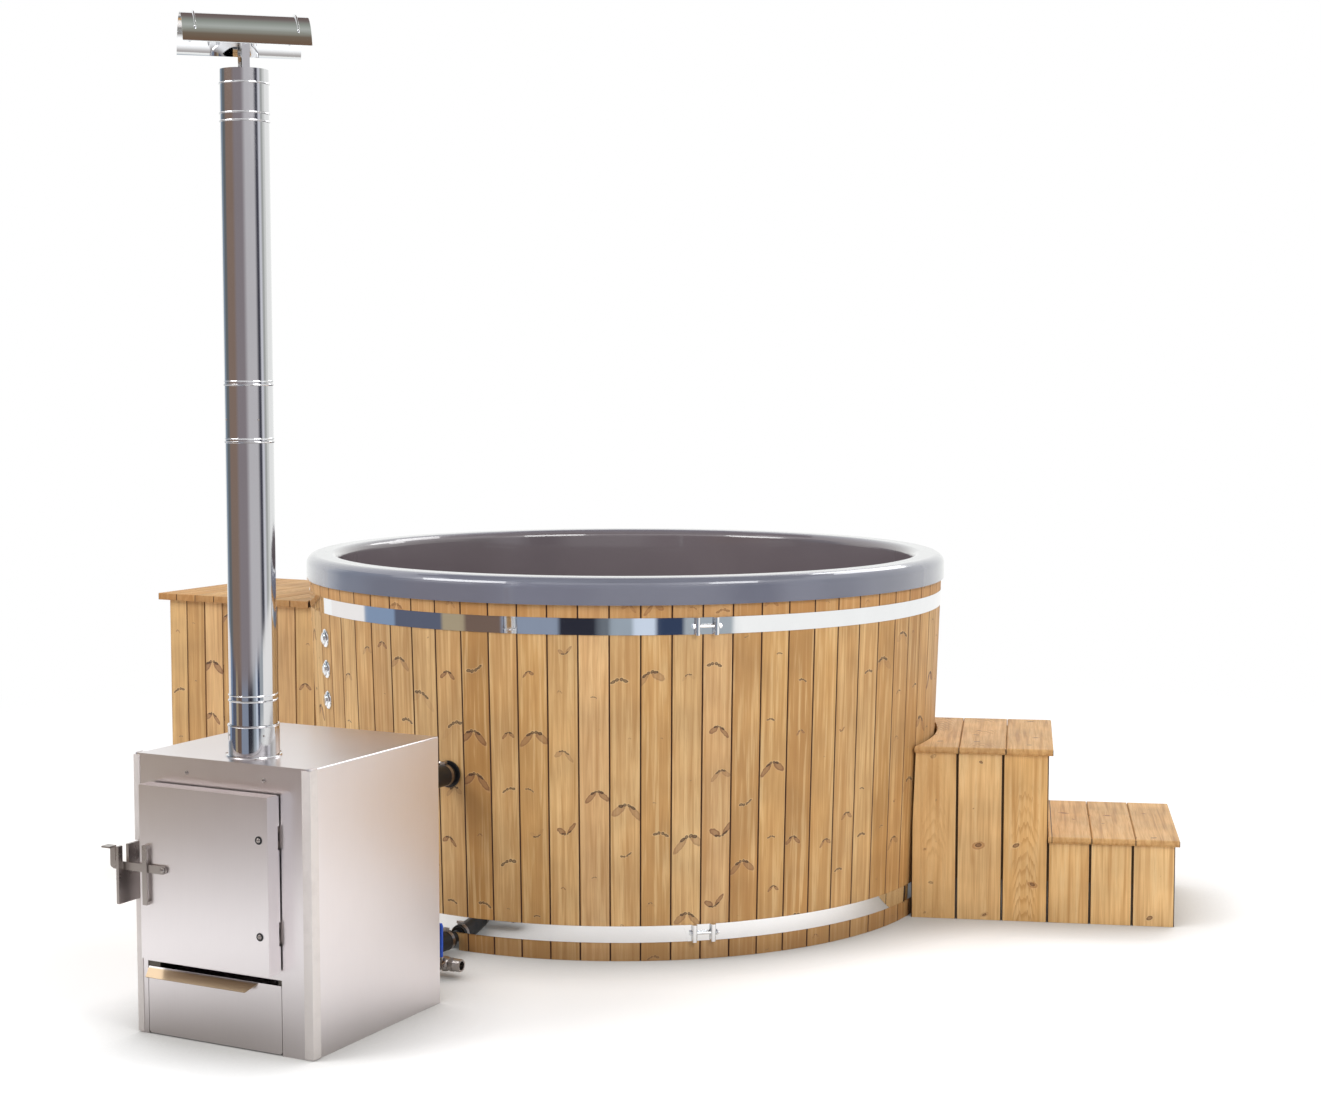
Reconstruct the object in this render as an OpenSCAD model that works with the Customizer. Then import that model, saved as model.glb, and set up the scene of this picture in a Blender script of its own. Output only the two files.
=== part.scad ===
// Round wooden hot tub with an outside wood-fired water heater, a filter cabinet and two steps.
// The origin is the tub's axis on the ground. +Z is up and -Y points at the heater, whose fire
// door faces -Y. The filter cabinet stands on the -X side and the steps on the +X side.

/* [Staves] */
// Number of staves round the tub
stave_n = 72; // [60:4:84]
// Height of the staves
stave_h = 1030; // [980:5:1080]
// Radius over the staves' outer faces on the ground
tub_r_foot = 965; // [955:1:975]
// Radius over the staves' outer faces at their top
tub_r_top = 999; // [990:1:1005]
// Thickness of a stave
stave_t = 20; // [16:1:26]
// Width of the V groove at each joint between two staves
groove_w = 6; // [3:0.5:9]
// Open joint left between two staves
stave_gap = 0.5; // [0.3:0.1:0.9]
// Azimuth of the first joint between two staves
stave_turn = 0.5; // [0:0.5:4.5]

/* [Bath shell] */
// Wall thickness of the moulded bath shell
shell_t = 6; // [4:0.5:8]
// How far the rim's lip stands out past the staves' top
rim_over = 9; // [8:0.5:14]
// Width of the rim, from the bath's opening to the lip
rim_w = 100; // [90:1:115]
// Height of the rim's lip
rim_h = 75; // [68:1:84]
// Radius of the rim's outer top edge
rim_round = 30; // [24:1:34]
// Radius of the rim's inner top edge
rim_in_round = 26; // [18:1:30]
// How much narrower the bath is at the bench than at the rim
wall_draft = 32; // [20:1:40]
// Height of the bench above the footwell's floor
bench_h = 325; // [280:5:360]
// Depth of the bench, from its edge to the bath's wall
bench_d = 316; // [260:2:340]
// Radius where the bench meets the wall
bench_fillet = 50; // [30:2:60]
// Radius of the bench's edge
bench_round = 35; // [20:1:45]
// Radius where the footwell's wall meets its floor
foot_fillet = 50; // [30:2:60]

/* [Wooden base and rings] */
// Height of the joists that the tub stands on
joist_h = 40; // [36:1:45]
// Width of a joist and of a bearer
joist_w = 45; // [40:1:50]
// Distance from one joist to the next
joist_pitch = 300; // [280:5:320]
// Height of the bearers across the joists, under the footwell
bearer_h = 49; // [44:1:55]
// Distance from one bearer to the next
bearer_pitch = 200; // [180:5:210]
// Height of the ring that the rim rests on
rim_ring_h = 42; // [40:1:46]
// Height of the ring that holds the staves' feet
floor_ring_h = 25; // [20:1:30]
// Radial width of the ring that holds the staves' feet
floor_ring_w = 45; // [35:1:50]

/* [Hoops] */
// Height of a steel hoop
hoop_w = 47; // [40:1:50]
// Thickness of a hoop
hoop_t = 1.5; // [1:0.1:2]
// Height of the lower hoop's bottom edge
hoop_low_z = 53; // [53:1:60]
// Distance from the staves' top down to the upper hoop's bottom edge
hoop_drop = 110; // [100:1:120]
// Azimuth of the hoops' tension bolts
lug_turn = -49; // [-54:1:-44]
// Distance between the two barrels of a tension lock
barrel_pitch = 54; // [46:1:60]
// Diameter of a tension lock's barrel
barrel_d = 15; // [13:0.5:17]
// Diameter of a tension bolt
tension_d = 8; // [6:1:8]
// Length of a tension lock's long strap, past its barrel
long_strap = 80; // [50:1:90]
// Length of a tension lock's short strap, past its barrel
short_strap = 24; // [16:1:30]
// Slant of the straps' ends
slant = 14; // [0:1:20]

/* [Air buttons and jets] */
// Azimuth of the column of three push buttons
button_turn = -127; // [-137:5:-117]
// Distance from the staves' top down to the lowest button
button_drop = 373; // [350:1:390]
// Distance from one button to the next
button_pitch = 93.5; // [80:0.5:100]
// Diameter of a button's bezel
bezel_d = 58; // [52:1:62]
// Height of a bezel's dome over the staves
bezel_h = 9; // [7:0.5:11]
// Diameter of a push button
button_d = 34; // [28:1:36]
// How far a button stands out of its bezel
button_out = 4.5; // [4.2:0.1:6]
// Number of air jets round the bath's wall
jet_n = 6; // [4:1:8]
// Diameter of a jet's flange
jet_d = 64; // [56:1:70]
// Height of the jets above the bench
jet_up = 220; // [180:5:260]

/* [Water pipes] */
// How far the hoses lie to the side of the tub's axis
hose_x = -40; // [-42:1:-38]
// Height of the upper, hot hose
up_z = 510; // [505:1:530]
// Height of the lower, cold hose
low_z = 36; // [34:0.5:36]
// Outside diameter of the upper hose
up_hose_d = 60; // [58:1:64]
// Outside diameter of the lower hose
low_hose_d = 54; // [52:1:58]
// Wall thickness of both hoses
hose_wall = 4.8; // [4:0.1:5]
// Diameter of the drain pipe under the tub
drain_d = 32; // [30:0.5:32]
// Wall thickness of the pipes and fittings
pipe_wall = 3; // [2:0.5:3.5]
// Length of a hose tail
tail_l = 45; // [40:1:50]
// Distance from the tub's axis to the drain in the footwell's floor
drain_y = 290; // [280:5:300]
// Distance from the staves' feet to the drain tee's middle
tee_off = 250; // [225:1:265]
// Distance from the tee's axis to the middle of the ball valve
valve_out = 132; // [120:1:140]
// Diameter of the valve's outlet thread
outlet_d = 33.2; // [30:0.1:34]
// Length of the valve's outlet
outlet_l = 24; // [20:1:30]
// Length of the valve's lever, from its turning axis to its end
lever_l = 118; // [100:1:125]

/* [Heater] */
// Width of the heater's front panel
furnace_w = 532; // [525:1:560]
// Depth of the heater
furnace_d = 555; // [540:5:600]
// Height of the heater's front panel
furnace_h = 704; // [696:1:730]
// Distance from the staves' feet to the heater's back
furnace_gap = 469; // [460:1:490]
// How far the heater's middle lies to the side of the tub's axis
furnace_x = -47; // [-50:1:-44]
// Thickness of the heater's outer sheets
sheet = 2; // [1.5:0.1:2.2]
// Thickness of the firebox's sheets
fire_sheet = 3; // [2.5:0.1:4]
// Depth of the front panel's folded edges
panel_fold = 30; // [24:1:36]
// Radius of the front panel's upright edges
panel_round = 9; // [6:0.5:12]
// Width inside the firebox
fire_w = 362; // [340:1:366]
// Depth inside the firebox
fire_d = 465; // [440:1:475]
// Height of the firebox's roof
fire_h = 600; // [590:1:620]
// Height of the grate's top
grate_z = 214; // [206:1:220]
// Number of slots in the grate
grate_n = 10; // [8:1:12]

/* [Fire door] */
// Width of the fire door
door_w = 388; // [380:1:394]
// Height of the fire door
door_h = 431; // [420:1:440]
// Height of the door's bottom edge
door_z = 206; // [200:1:210]
// How far the door's middle lies to the left of the heater's middle
door_off = 17; // [14:1:20]
// Depth of the door's folded tray
door_d = 40; // [36:1:44]
// Gap between the tray's back edge and the front panel
door_gap = 10; // [9.5:0.1:12]
// Distance from the door's top and bottom edges to the middle of a hinge
hinge_in = 99; // [80:1:110]
// Outside diameter of a hinge knuckle
knuckle_d = 9; // [8:0.1:9]
// Diameter of a hinge pin
pin_d = 5; // [4:0.1:5]
// Thickness of the door's sealing rope before the front panel
seal_gap = 0.3; // [0.2:0.1:0.5]

/* [Door latch] */
// Distance from the door's left edge to the latch's pivot
latch_in = 76; // [70:1:84]
// Height of the latch bar's middle
latch_z = 432; // [420:1:440]
// Height of the latch bar
bar_h = 20; // [16:1:22]
// Thickness of the latch bar, the guide and the keeper
bar_t = 5; // [4:0.5:5]
// Length of the latch bar past its pivot
bar_l = 164; // [160:1:170]
// Distance from the latch's pivot to the guide strap
guide_in = 46; // [40:1:56]
// Width of the guide strap
guide_w = 14; // [10:1:16]
// Distance from the latch's pivot to the keeper
keeper_in = 120; // [116:1:124]
// How far the keeper stands out of the front panel
keeper_d = 77; // [74:1:84]
// Thickness of the keeper
keeper_t = 8; // [5:0.5:9]
// Width of the keeper's slot
slot_w = 22; // [16:1:24]
// Distance from the keeper's front edge to its slot
horn_w = 15; // [10:1:16]

/* [Ash drawer] */
// Width of the ash drawer's front
drawer_w = 407; // [400:1:410]
// Height of the ash drawer's front
drawer_h = 168; // [150:1:172]
// How far the drawer's middle lies to the left of the heater's middle
drawer_off = 29.5; // [28:0.5:31]
// Depth of the ash tray behind the front
tray_d = 427; // [400:1:435]
// Gap round the drawer's front
drawer_gap = 1.5; // [1:0.1:2]
// Height of the draught slot over the drawer's front
draught_h = 14; // [12:1:24]
// Length of the folded handle flap along the drawer's top edge
flap_l = 338; // [320:1:350]
// Width of the handle flap
flap_w = 32; // [26:1:34]
// Angle of the handle flap below the horizontal
flap_tilt = 41; // [35:1:50]
// Cut at each corner of the handle flap
flap_cut = 25; // [18:1:28]

/* [Chimney] */
// Diameter of the chimney pipe
flue_d = 117; // [110:1:120]
// Wall thickness of the chimney pipe
flue_t = 1; // [0.8:0.1:1.2]
// Distance from the heater's front to the chimney's axis
flue_in = 116; // [112:1:125]
// How far the chimney's axis lies to the right of the heater's middle
flue_off = 13; // [5:1:16]
// Height of the collar on the heater's roof
collar_h = 29; // [24:1:36]
// Height of the joint between the two chimney pipes, above the heater
flue_joint = 836; // [800:1:860]
// Height of the chimney's top above the heater
flue_h = 1657; // [1600:1:1700]
// How far a rolled bead stands out of the pipe
bead = 2.5; // [2:0.1:3]
// Distance from the pipe joint to the beads above and below it
bead_off = 69; // [64:1:74]

/* [Cowl] */
// Length of the arched cowl
cowl_l = 300; // [280:1:320]
// Radius of the cowl's arch
cowl_r = 127; // [122:1:135]
// Height of the arch, from its edges to its crown
cowl_rise = 84; // [76:1:90]
// Thickness of the cowl's sheet
cowl_t = 1.5; // [1:0.1:2]
// Height of the cowl's crown over the pipe's top
cowl_up = 131; // [125:1:140]
// Azimuth of the cowl's axis
cowl_turn = 43; // [0:1:90]
// Width of the cowl's two flat legs
leg_w = 18; // [14:1:22]
// Thickness of the legs
leg_t = 3; // [2:0.5:4]
// Diameter of the two rods over the cowl
rod_d = 5; // [4:0.5:6]
// Distance from the cowl's middle to each rod
rod_off = 120; // [110:1:130]

/* [Filter cabinet] */
// Distance from the staves' top down to the cabinet's lid
cab_drop = 115; // [114:1:150]
// How far the cabinet's lid reaches out past the staves' top
cab_out = 487; // [471:1:511]
// Where the lid's front edge lies, before the tub's axis
cab_front = 510; // [500:1:530]
// Where the lid's back edge lies, behind the tub's axis
cab_back = 105; // [95:1:120]
// How far the lid stands out over the boards
lid_over = 30; // [26:1:34]
// Thickness of the lid's boards
lid_t = 22; // [18:1:25]
// Thickness of the cabinet's upright boards
cab_board_t = 18; // [15:1:20]
// Width of the cabinet's upright boards
cab_board_w = 73; // [66:1:80]
// Side of a square post
post_w = 45; // [40:1:50]
// Gap between the cabinet or the steps and the tub's wall
wall_gap = 9; // [8:0.5:14]

/* [Steps] */
// Distance from the staves' feet to the steps' front inner corner
step_out = 16; // [-10:1:30]
// How far that corner lies behind the tub's axis
step_y = -12; // [-40:1:65]
// Direction in which the steps lead away from the tub
step_turn = 18; // [12:0.1:20]
// Depth of the steps, along the tub's wall
step_d = 565; // [540:5:600]
// Length of the tall step
tall_l = 406; // [375:1:420]
// Length of the low step
low_l = 372; // [360:1:405]
// Height of the tall step
tall_h = 523; // [500:1:540]
// Height of the low step
low_h = 261; // [250:1:275]
// Number of boards along each step
step_n = 3; // [2:1:4]
// Thickness of the steps' boards
step_t = 20; // [18:1:24]
// How far the treads stand out over the front boards
nose = 12; // [8:1:16]
// Gap between two boards
step_gap = 1.5; // [1:0.5:6]

/* [Hidden] */

// Clearance between two faces that would otherwise touch on a curve
fit = 0.3;
// Radial clearance of a pin in the piece that turns on it
run_fit = 0.05;
// Overlap of a cutting tool past the face that it cuts
cut = 1;
// Smoothness of large and small circles in the preview
fine = 180;
round_n = 36;

wood = "#c08a4a";
pale_wood = "#d2a265";
frame_wood = "#b98d57";
steel = "#c9c0bb";
polished = "#d8dadd";
black = "#232324";
slate = "#6c6a72";
iron = "#3a3a3c";
blue = "#1746c8";

// --- Outlines and placing ---------------------------------------------------------------------

// Points of a circular arc about a centre
function arc(centre, radius, from, to, steps = 8) =
    [for (i = [0:steps]) centre + radius * [cos(from + (to - from) * i / steps),
                                            sin(from + (to - from) * i / steps)]];

// The same points in the opposite order
function backwards(points) = [for (i = [len(points) - 1:-1:0]) points[i]];

// Radius over the staves' outer faces, the inner faces and the corners at height z
function wall_r(z) = tub_r_foot + (tub_r_top - tub_r_foot) * z / stave_h;
function inner_r(z) = wall_r(z) - stave_t / cos(lean);
function corner_r(z) = wall_r(z) / cos(180 / stave_n);

lean = atan((tub_r_top - tub_r_foot) / stave_h);
rim_r = tub_r_top + rim_over;
rim_in_r = rim_r - rim_w;
rim_top = stave_h + rim_ring_h + shell_t;
rim_low = rim_top - rim_h;
floor_z = joist_h + bearer_h + shell_t;
bench_z = floor_z + bench_h;
bench_out_r = rim_in_r - wall_draft;
bench_in_r = bench_out_r - bench_d;
button_z = stave_h - button_drop;
tee_y = tub_r_foot + tee_off;
furnace_y = tub_r_foot + furnace_gap + furnace_d;
cab_h = stave_h - cab_drop;
cab_x = tub_r_top + cab_out;
step_x = tub_r_foot + step_out;

// The bath shell's outline from the lip to the axis, moved out of the bath by o
function skin(o) = concat(
    [[rim_r - o, rim_low]],
    arc([rim_r - rim_round, rim_top - rim_round], rim_round - o, 0, 90),
    arc([rim_in_r + rim_in_round, rim_top - rim_in_round], rim_in_round - o, 90, 180),
    arc([bench_out_r - bench_fillet, bench_z + bench_fillet], bench_fillet + o, 0, -90),
    arc([bench_in_r + bench_round, bench_z - bench_round], bench_round - o, 90, 180),
    arc([bench_in_r - foot_fillet, floor_z + foot_fillet], foot_fillet + o, 0, -90),
    [[0, floor_z - o]]);

// Radius of the bath's wall at height z above the bench
function bath_r(z) = bench_out_r + wall_draft * (z - bench_z - bench_fillet)
    / (rim_top - rim_in_round - bench_z - bench_fillet);

// All that lies outside the bath, beyond its skin moved out by o
module outside_bath(o) {
    rotate_extrude($fn = fine)
        polygon(concat(skin(o), [[0, -cut], [rim_r + 200, -cut], [rim_r + 200, rim_low]]));
}

// Places a child on the wall, its +Z out along the wall's normal
module on_wall(turn, z) {
    rotate([0, 0, turn]) translate([wall_r(z), 0, z]) rotate([0, 90 + lean, 0]) children();
}

// Places a child so that its +Z runs along -Y, from the tub's axis outwards
module along_hose(z) {
    translate([hose_x, 0, z]) rotate([90, 0, 0]) children();
}

// A straight tube along +Z
module tube(r_out, r_in, from, to) {
    translate([0, 0, from]) difference() {
        cylinder(h = to - from, r = r_out, $fn = fine);
        translate([0, 0, -cut]) cylinder(h = to - from + 2 * cut, r = r_in, $fn = fine);
    }
}

// An upright board with its front face on y = 0 and chamfered front edges
module upright_board(w, t, h, chamfer) {
    linear_extrude(h)
        polygon([[0, chamfer], [chamfer, 0], [w - chamfer, 0], [w, chamfer], [w, t], [0, t]]);
}

// A flat rectangle with round corners, centred
module round_rect(w, h, r) {
    square([w - 2 * r, h], center = true);
    square([w, h - 2 * r], center = true);
    for (x = [-1, 1], y = [-1, 1])
        translate([x * (w / 2 - r), y * (h / 2 - r)]) circle(r, $fn = round_n);
}

// A domed screw or bolt head with its flat face on z = 0
module dome_head(r, h) {
    rotate_extrude($fn = round_n)
        polygon(concat([[0, 0]], [for (a = [0:15:90]) [r * cos(a), h * 0.25 + h * 0.75 * sin(a)]],
                       [[0, h]]));
}

// The tapered space that the tub takes up, with a gap round it
module tub_space(gap) {
    translate([0, 0, -cut])
        cylinder(h = stave_h + 2 * cut, r1 = corner_r(-cut) + gap, r2 = corner_r(stave_h + cut) + gap,
                 $fn = fine);
}

// --- Bath shell and staves --------------------------------------------------------------------

up_tail_r = up_hose_d / 2 - hose_wall;
low_tail_r = low_hose_d / 2 - hose_wall;
jet_z = bench_z + jet_up;
jet_body_r = jet_d / 3;
grate_r = 40;
suction_z = 150;
return_z = 680;
service_r = 20;
pump_y = -80;
tank_y = -290;

// The moulded shell: rim, wall, bench and footwell in one skin
module tub_shell() {
    color(slate) difference() {
        rotate_extrude($fn = fine) polygon(concat(skin(0), backwards(skin(shell_t))));
        along_hose(up_z) cylinder(h = rim_r, r = up_tail_r + fit, $fn = round_n);
        translate([hose_x, -drain_y, 0]) cylinder(h = floor_z + cut, r = drain_d / 2 + fit, $fn = round_n);
        for (i = [0:jet_n - 1])
            rotate([0, 0, jet_azimuth(i)]) translate([0, 0, jet_z]) rotate([0, 90, 0])
                cylinder(h = rim_r, r = jet_body_r + fit, $fn = round_n);
        service_cut(pump_y, suction_z, bench_out_r);
        service_cut(tank_y, return_z, rim_r);
    }
}

function jet_azimuth(i) = 360 / jet_n * (i + 0.5);

// Clears the way of a filter pipe towards -X, at one height
module service_cut(y, z, reach) {
    translate([0, y, z]) rotate([0, -90, 0]) cylinder(h = reach, r = service_r + fit, $fn = round_n);
}

// One stave about the +X direction: a flat board, mitred and grooved at both joints
module stave() {
    half = 180 / stave_n;
    reach = stave_h / cos(lean) + 100;
    edge_lean = atan((tub_r_top - tub_r_foot) / cos(half) / stave_h);
    side = groove_w / sqrt(2);
    difference() {
        intersection() {
            translate([tub_r_foot, 0, 0]) rotate([0, lean, 0])
                translate([-stave_t, -tub_r_top * tan(half) - cut, -50])
                cube([stave_t, 2 * tub_r_top * tan(half) + 2 * cut, reach]);
            linear_extrude(stave_h) polygon([
                [tub_r_foot / 2, -tub_r_foot / 2 * tan(half) + stave_gap / 2],
                [2 * tub_r_foot, -2 * tub_r_foot * tan(half) + stave_gap / 2],
                [2 * tub_r_foot, 2 * tub_r_foot * tan(half) - stave_gap / 2],
                [tub_r_foot / 2, tub_r_foot / 2 * tan(half) - stave_gap / 2]]);
        }
        for (s = [-1, 1])
            rotate([0, 0, s * half]) translate([tub_r_foot / cos(half), 0, 0])
                rotate([0, edge_lean, 0]) rotate([0, 0, 45]) translate([-side / 2, -side / 2, -50])
                cube([side, side, reach]);
    }
}

// All staves, with the holes for the pipes and the buttons
module staves() {
    color(wood) difference() {
        for (i = [0:stave_n - 1]) rotate([0, 0, stave_turn + (i + 0.5) * 360 / stave_n]) stave();
        along_hose(up_z) cylinder(h = rim_r + 50, r = up_tail_r + fit, $fn = round_n);
        along_hose(low_z) cylinder(h = rim_r + 50, r = drain_d / 2 + fit, $fn = round_n);
        translate([hose_x - drain_d / 2 - fit, -rim_r - 50, -cut])
            cube([drain_d + 2 * fit, 150, low_z + cut]);
        for (i = [0:2]) on_wall(button_turn, button_z + i * button_pitch)
            translate([0, 0, -50]) cylinder(h = 100, r = stem_r + fit, $fn = round_n);
        service_cut(pump_y, suction_z, rim_r + 50);
        service_cut(tank_y, return_z, rim_r + 50);
    }
}

// The ring under the rim, which sits on the staves, and the ring that holds their feet
module stave_rings() {
    top = rim_top - shell_t;
    edge = tub_r_top - 2;
    inside = rim_in_r + shell_t + 2;
    color(frame_wood) {
        rotate_extrude($fn = fine) polygon([
            [inside, stave_h], [edge, stave_h], [edge, stave_h + 14], [rim_r - rim_round, top],
            [rim_in_r + rim_in_round, top], [inside, top - 16]]);
        difference() {
            tube(inner_r(joist_h) - fit, inner_r(joist_h) - floor_ring_w, joist_h, joist_h + floor_ring_h);
            translate([hose_x - drain_d, -rim_r, 0]) cube([2 * drain_d, 300, stave_h]);
        }
    }
}

// Joists on the ground, with bearers across them under the footwell
module base_frame() {
    ring_r = inner_r(joist_h) - fit;
    color(frame_wood) {
        for (i = [-2:2]) {
            outer = abs(i) * joist_pitch + joist_w / 2;
            half_l = sqrt(ring_r * ring_r - outer * outer) - 1;
            translate([i * joist_pitch - joist_w / 2, -half_l, 0]) cube([joist_w, 2 * half_l, joist_h]);
        }
        for (i = [-1:1])
            translate([-joist_pitch - joist_w / 2, i * bearer_pitch - joist_w / 2, joist_h])
                cube([2 * joist_pitch + joist_w, joist_w, bearer_h]);
    }
}

// --- Hoops ------------------------------------------------------------------------------------

hoop_high_z = stave_h - hoop_drop;
function hoop_in_r(z) = corner_r(z) + 0.15;

// One hoop: a conical strip round the staves
module hoop(z) {
    color(polished) rotate_extrude($fn = fine) polygon([
        [hoop_in_r(z), z], [hoop_in_r(z) + hoop_t, z],
        [hoop_in_r(z + hoop_w) + hoop_t, z + hoop_w], [hoop_in_r(z + hoop_w), z + hoop_w]]);
}

// Places a child on a hoop's outer face at the lock: +X out, +Y round the tub, +Z up
module at_lock(z) {
    middle = z + hoop_w / 2;
    rotate([0, 0, lug_turn]) translate([hoop_in_r(middle) + hoop_t, 0, middle])
        rotate([0, lean, 0]) translate([fit, 0, 0]) children();
}

// A strap on a hoop, from one distance round the tub to another, with a slanted far end
module lock_strap(z, from, to) {
    r = hoop_in_r(z + hoop_w / 2) + hoop_t + fit;
    strap = 1.2;
    tip = (to > from ? 1 : -1) * hoop_w / 2 * tan(slant);
    at_lock(z) intersection() {
        translate([-r, 0, -hoop_w / 2]) tube(r + strap, r, 0, hoop_w);
        translate([-20, 0, 0]) rotate([90, 0, 90]) linear_extrude(40)
            polygon([[from, -hoop_w], [from, hoop_w], [to + 2 * tip, hoop_w], [to - 2 * tip, -hoop_w]]);
    }
}

// The barrels and strap ends of the two tension locks
module hoop_lugs() {
    half = barrel_pitch / 2;
    color(polished) for (z = [hoop_low_z, hoop_high_z]) difference() {
        union() {
            lock_strap(z, -half + 2, -half - short_strap);
            lock_strap(z, half - 2, half + long_strap);
            at_lock(z) for (side = [-1, 1]) translate([barrel_d / 2, side * half, -hoop_w / 2 - 1])
                cylinder(h = hoop_w + 2, d = barrel_d, $fn = round_n);
        }
        at_lock(z) translate([barrel_d / 2, 0, 0]) rotate([90, 0, 0])
            cylinder(h = 2 * barrel_pitch, d = tension_d + 2 * fit, center = true, $fn = round_n);
    }
}

// The two tension bolts, each with its head and nut
module hoop_bolts() {
    seat = (barrel_pitch + barrel_d) / 2 + 0.1;
    head = 5.5;
    color(polished) for (z = [hoop_low_z, hoop_high_z]) at_lock(z)
        translate([barrel_d / 2, 0, 0]) rotate([-90, 0, 0]) {
            translate([0, 0, -seat]) cylinder(h = 2 * seat + head + 3, d = tension_d, $fn = round_n);
            translate([0, 0, -seat - head]) cylinder(h = head, d = tension_d * 1.7, $fn = 6);
            translate([0, 0, seat]) cylinder(h = head, d = tension_d * 1.7, $fn = 6);
        }
}

// --- Air buttons and jets ---------------------------------------------------------------------

stem_r = button_d / 2 + 5;
bezel_deep = stave_t + 4;

// A bezel: a domed ring over a cup that goes through the stave
module bezel() {
    bore = button_d / 2 + fit;
    lip = bore + 2;
    rise = bezel_h - 2;
    rotate_extrude($fn = round_n) polygon(concat(
        [[0, -bezel_deep], [stem_r, -bezel_deep], [stem_r, 0], [bezel_d / 2, 0]],
        [for (a = [0:15:90]) [lip + (bezel_d / 2 - lip) * cos(a), 2 + rise * sin(a)]],
        [[bore, bezel_h - 1], [bore, -bezel_deep + 2], [0, -bezel_deep + 2]]));
}

module button_bezels() {
    color(polished) for (i = [0:2]) on_wall(button_turn, button_z + i * button_pitch)
        translate([0, 0, fit]) bezel();
}

// A push button: a crowned cap on a stem
module push_button(i) {
    r = button_d / 2;
    foot = -bezel_deep + 8;
    shoulder = bezel_h + button_out - 3;
    color(polished) on_wall(button_turn, button_z + i * button_pitch) translate([0, 0, fit])
        rotate_extrude($fn = round_n) polygon(concat([[0, foot], [r, foot]],
            [for (a = [0:15:90]) [r - 6 + 6 * cos(a), shoulder + 3 * sin(a)]],
            [[0, shoulder + 3]]));
}

// Air jets: a domed flange on the bath's wall and a body behind it
module air_jets() {
    color(polished) for (i = [0:jet_n - 1]) rotate([0, 0, jet_azimuth(i)]) translate([0, 0, jet_z])
        rotate([0, 90, 0]) difference() {
            union() {
                difference() {
                    translate([0, 0, bath_r(jet_z) - 8]) rotate_extrude($fn = round_n) polygon([
                        [0, 0], [jet_d / 5, 0], [jet_d / 2 - 4, 4], [jet_d / 2, 7], [jet_d / 2, 16], [0, 16]]);
                    rotate([0, -90, 0]) translate([0, 0, -jet_z]) outside_bath(-fit);
                }
                translate([0, 0, bath_r(jet_z) - 6]) cylinder(h = 48, r = jet_body_r, $fn = round_n);
            }
            translate([0, 0, bath_r(jet_z) - 20]) cylinder(h = 50, r = jet_d / 8, $fn = round_n);
        }
}

// --- Water pipes ------------------------------------------------------------------------------

up_wall_y = wall_r(up_z);
tail_start = up_wall_y + 14;
furnace_back = furnace_y - furnace_d;
hose_end = 8;

// Supply fitting: flange inside the bath, pipe through the wall, collar and hose tail outside
module supply_fitting() {
    reach = tail_start + tail_l;
    color(iron) along_hose(up_z) difference() {
        union() {
            difference() {
                translate([0, 0, bath_r(up_z) - 6]) cylinder(h = 14, r = up_tail_r + 12, $fn = round_n);
                translate([-hose_x, 0, 0]) rotate([-90, 0, 0]) translate([0, 0, -up_z]) outside_bath(-fit);
            }
            translate([0, 0, bath_r(up_z) - 5]) cylinder(h = reach - bath_r(up_z) + 5, r = up_tail_r, $fn = round_n);
            translate([0, 0, corner_r(up_z) + 3]) cylinder(h = 5, r = up_tail_r + 13, $fn = round_n);
        }
        translate([0, 0, bath_r(up_z) - 20])
            cylinder(h = reach, r = up_tail_r - pipe_wall, $fn = round_n);
    }
}

// Perforated cover over the drain in the footwell's floor
module drain_grate() {
    color(polished) translate([hose_x, -drain_y, floor_z]) difference() {
        rotate_extrude($fn = round_n) polygon([[0, 0], [grate_r, 0], [grate_r - 3, 4], [0, 6]]);
        for (a = [0:60:300]) rotate([0, 0, a]) translate([grate_r / 2, 0, -cut])
            cylinder(h = 10, r = 5, $fn = round_n);
        translate([0, 0, -cut]) cylinder(h = 10, r = 5, $fn = round_n);
    }
}

low_tail_start = wall_r(low_z) + 25;

// Drain pipe: down from the footwell, out under the hoop, and a hose tail outside the wall
module drain_pipe() {
    r = drain_d / 2;
    color(iron) difference() {
        union() {
            translate([hose_x, -drain_y, low_z]) cylinder(h = floor_z - low_z, r = r, $fn = round_n);
            translate([hose_x, -drain_y, low_z]) sphere(r, $fn = round_n);
            along_hose(low_z) translate([0, 0, drain_y])
                cylinder(h = low_tail_start - drain_y, r = r, $fn = round_n);
            along_hose(low_z) translate([0, 0, low_tail_start - 4])
                cylinder(h = tail_l + 4, r = low_tail_r, $fn = round_n);
        }
        translate([hose_x, -drain_y, low_z]) cylinder(h = floor_z, r = r - pipe_wall, $fn = round_n);
        translate([hose_x, -drain_y, low_z]) sphere(r - pipe_wall, $fn = round_n);
        along_hose(low_z) translate([0, 0, drain_y])
            cylinder(h = rim_r, r = r - pipe_wall, $fn = round_n);
    }
}

// Water stubs on the heater's back, each with a welded collar and a hose tail
module furnace_stubs() {
    color(steel) {
        stub(up_z, up_tail_r);
        stub(low_z, low_tail_r);
    }
}

module stub(z, r) {
    along_hose(z) translate([0, 0, furnace_back]) difference() {
        union() {
            translate([0, 0, -tail_l - 12]) cylinder(h = tail_l + 12 + 2 * sheet, r = r, $fn = round_n);
            translate([0, 0, -4]) cylinder(h = 4, r = r + 8, $fn = round_n);
        }
        translate([0, 0, -2 * tail_l]) cylinder(h = 4 * tail_l, r = r - pipe_wall, $fn = round_n);
    }
}

// A hose along -Y between two distances from the tub's axis
module hose(z, d, from, to) {
    along_hose(z) tube(d / 2, d / 2 - hose_wall + fit / 2, from, to);
}

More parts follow.
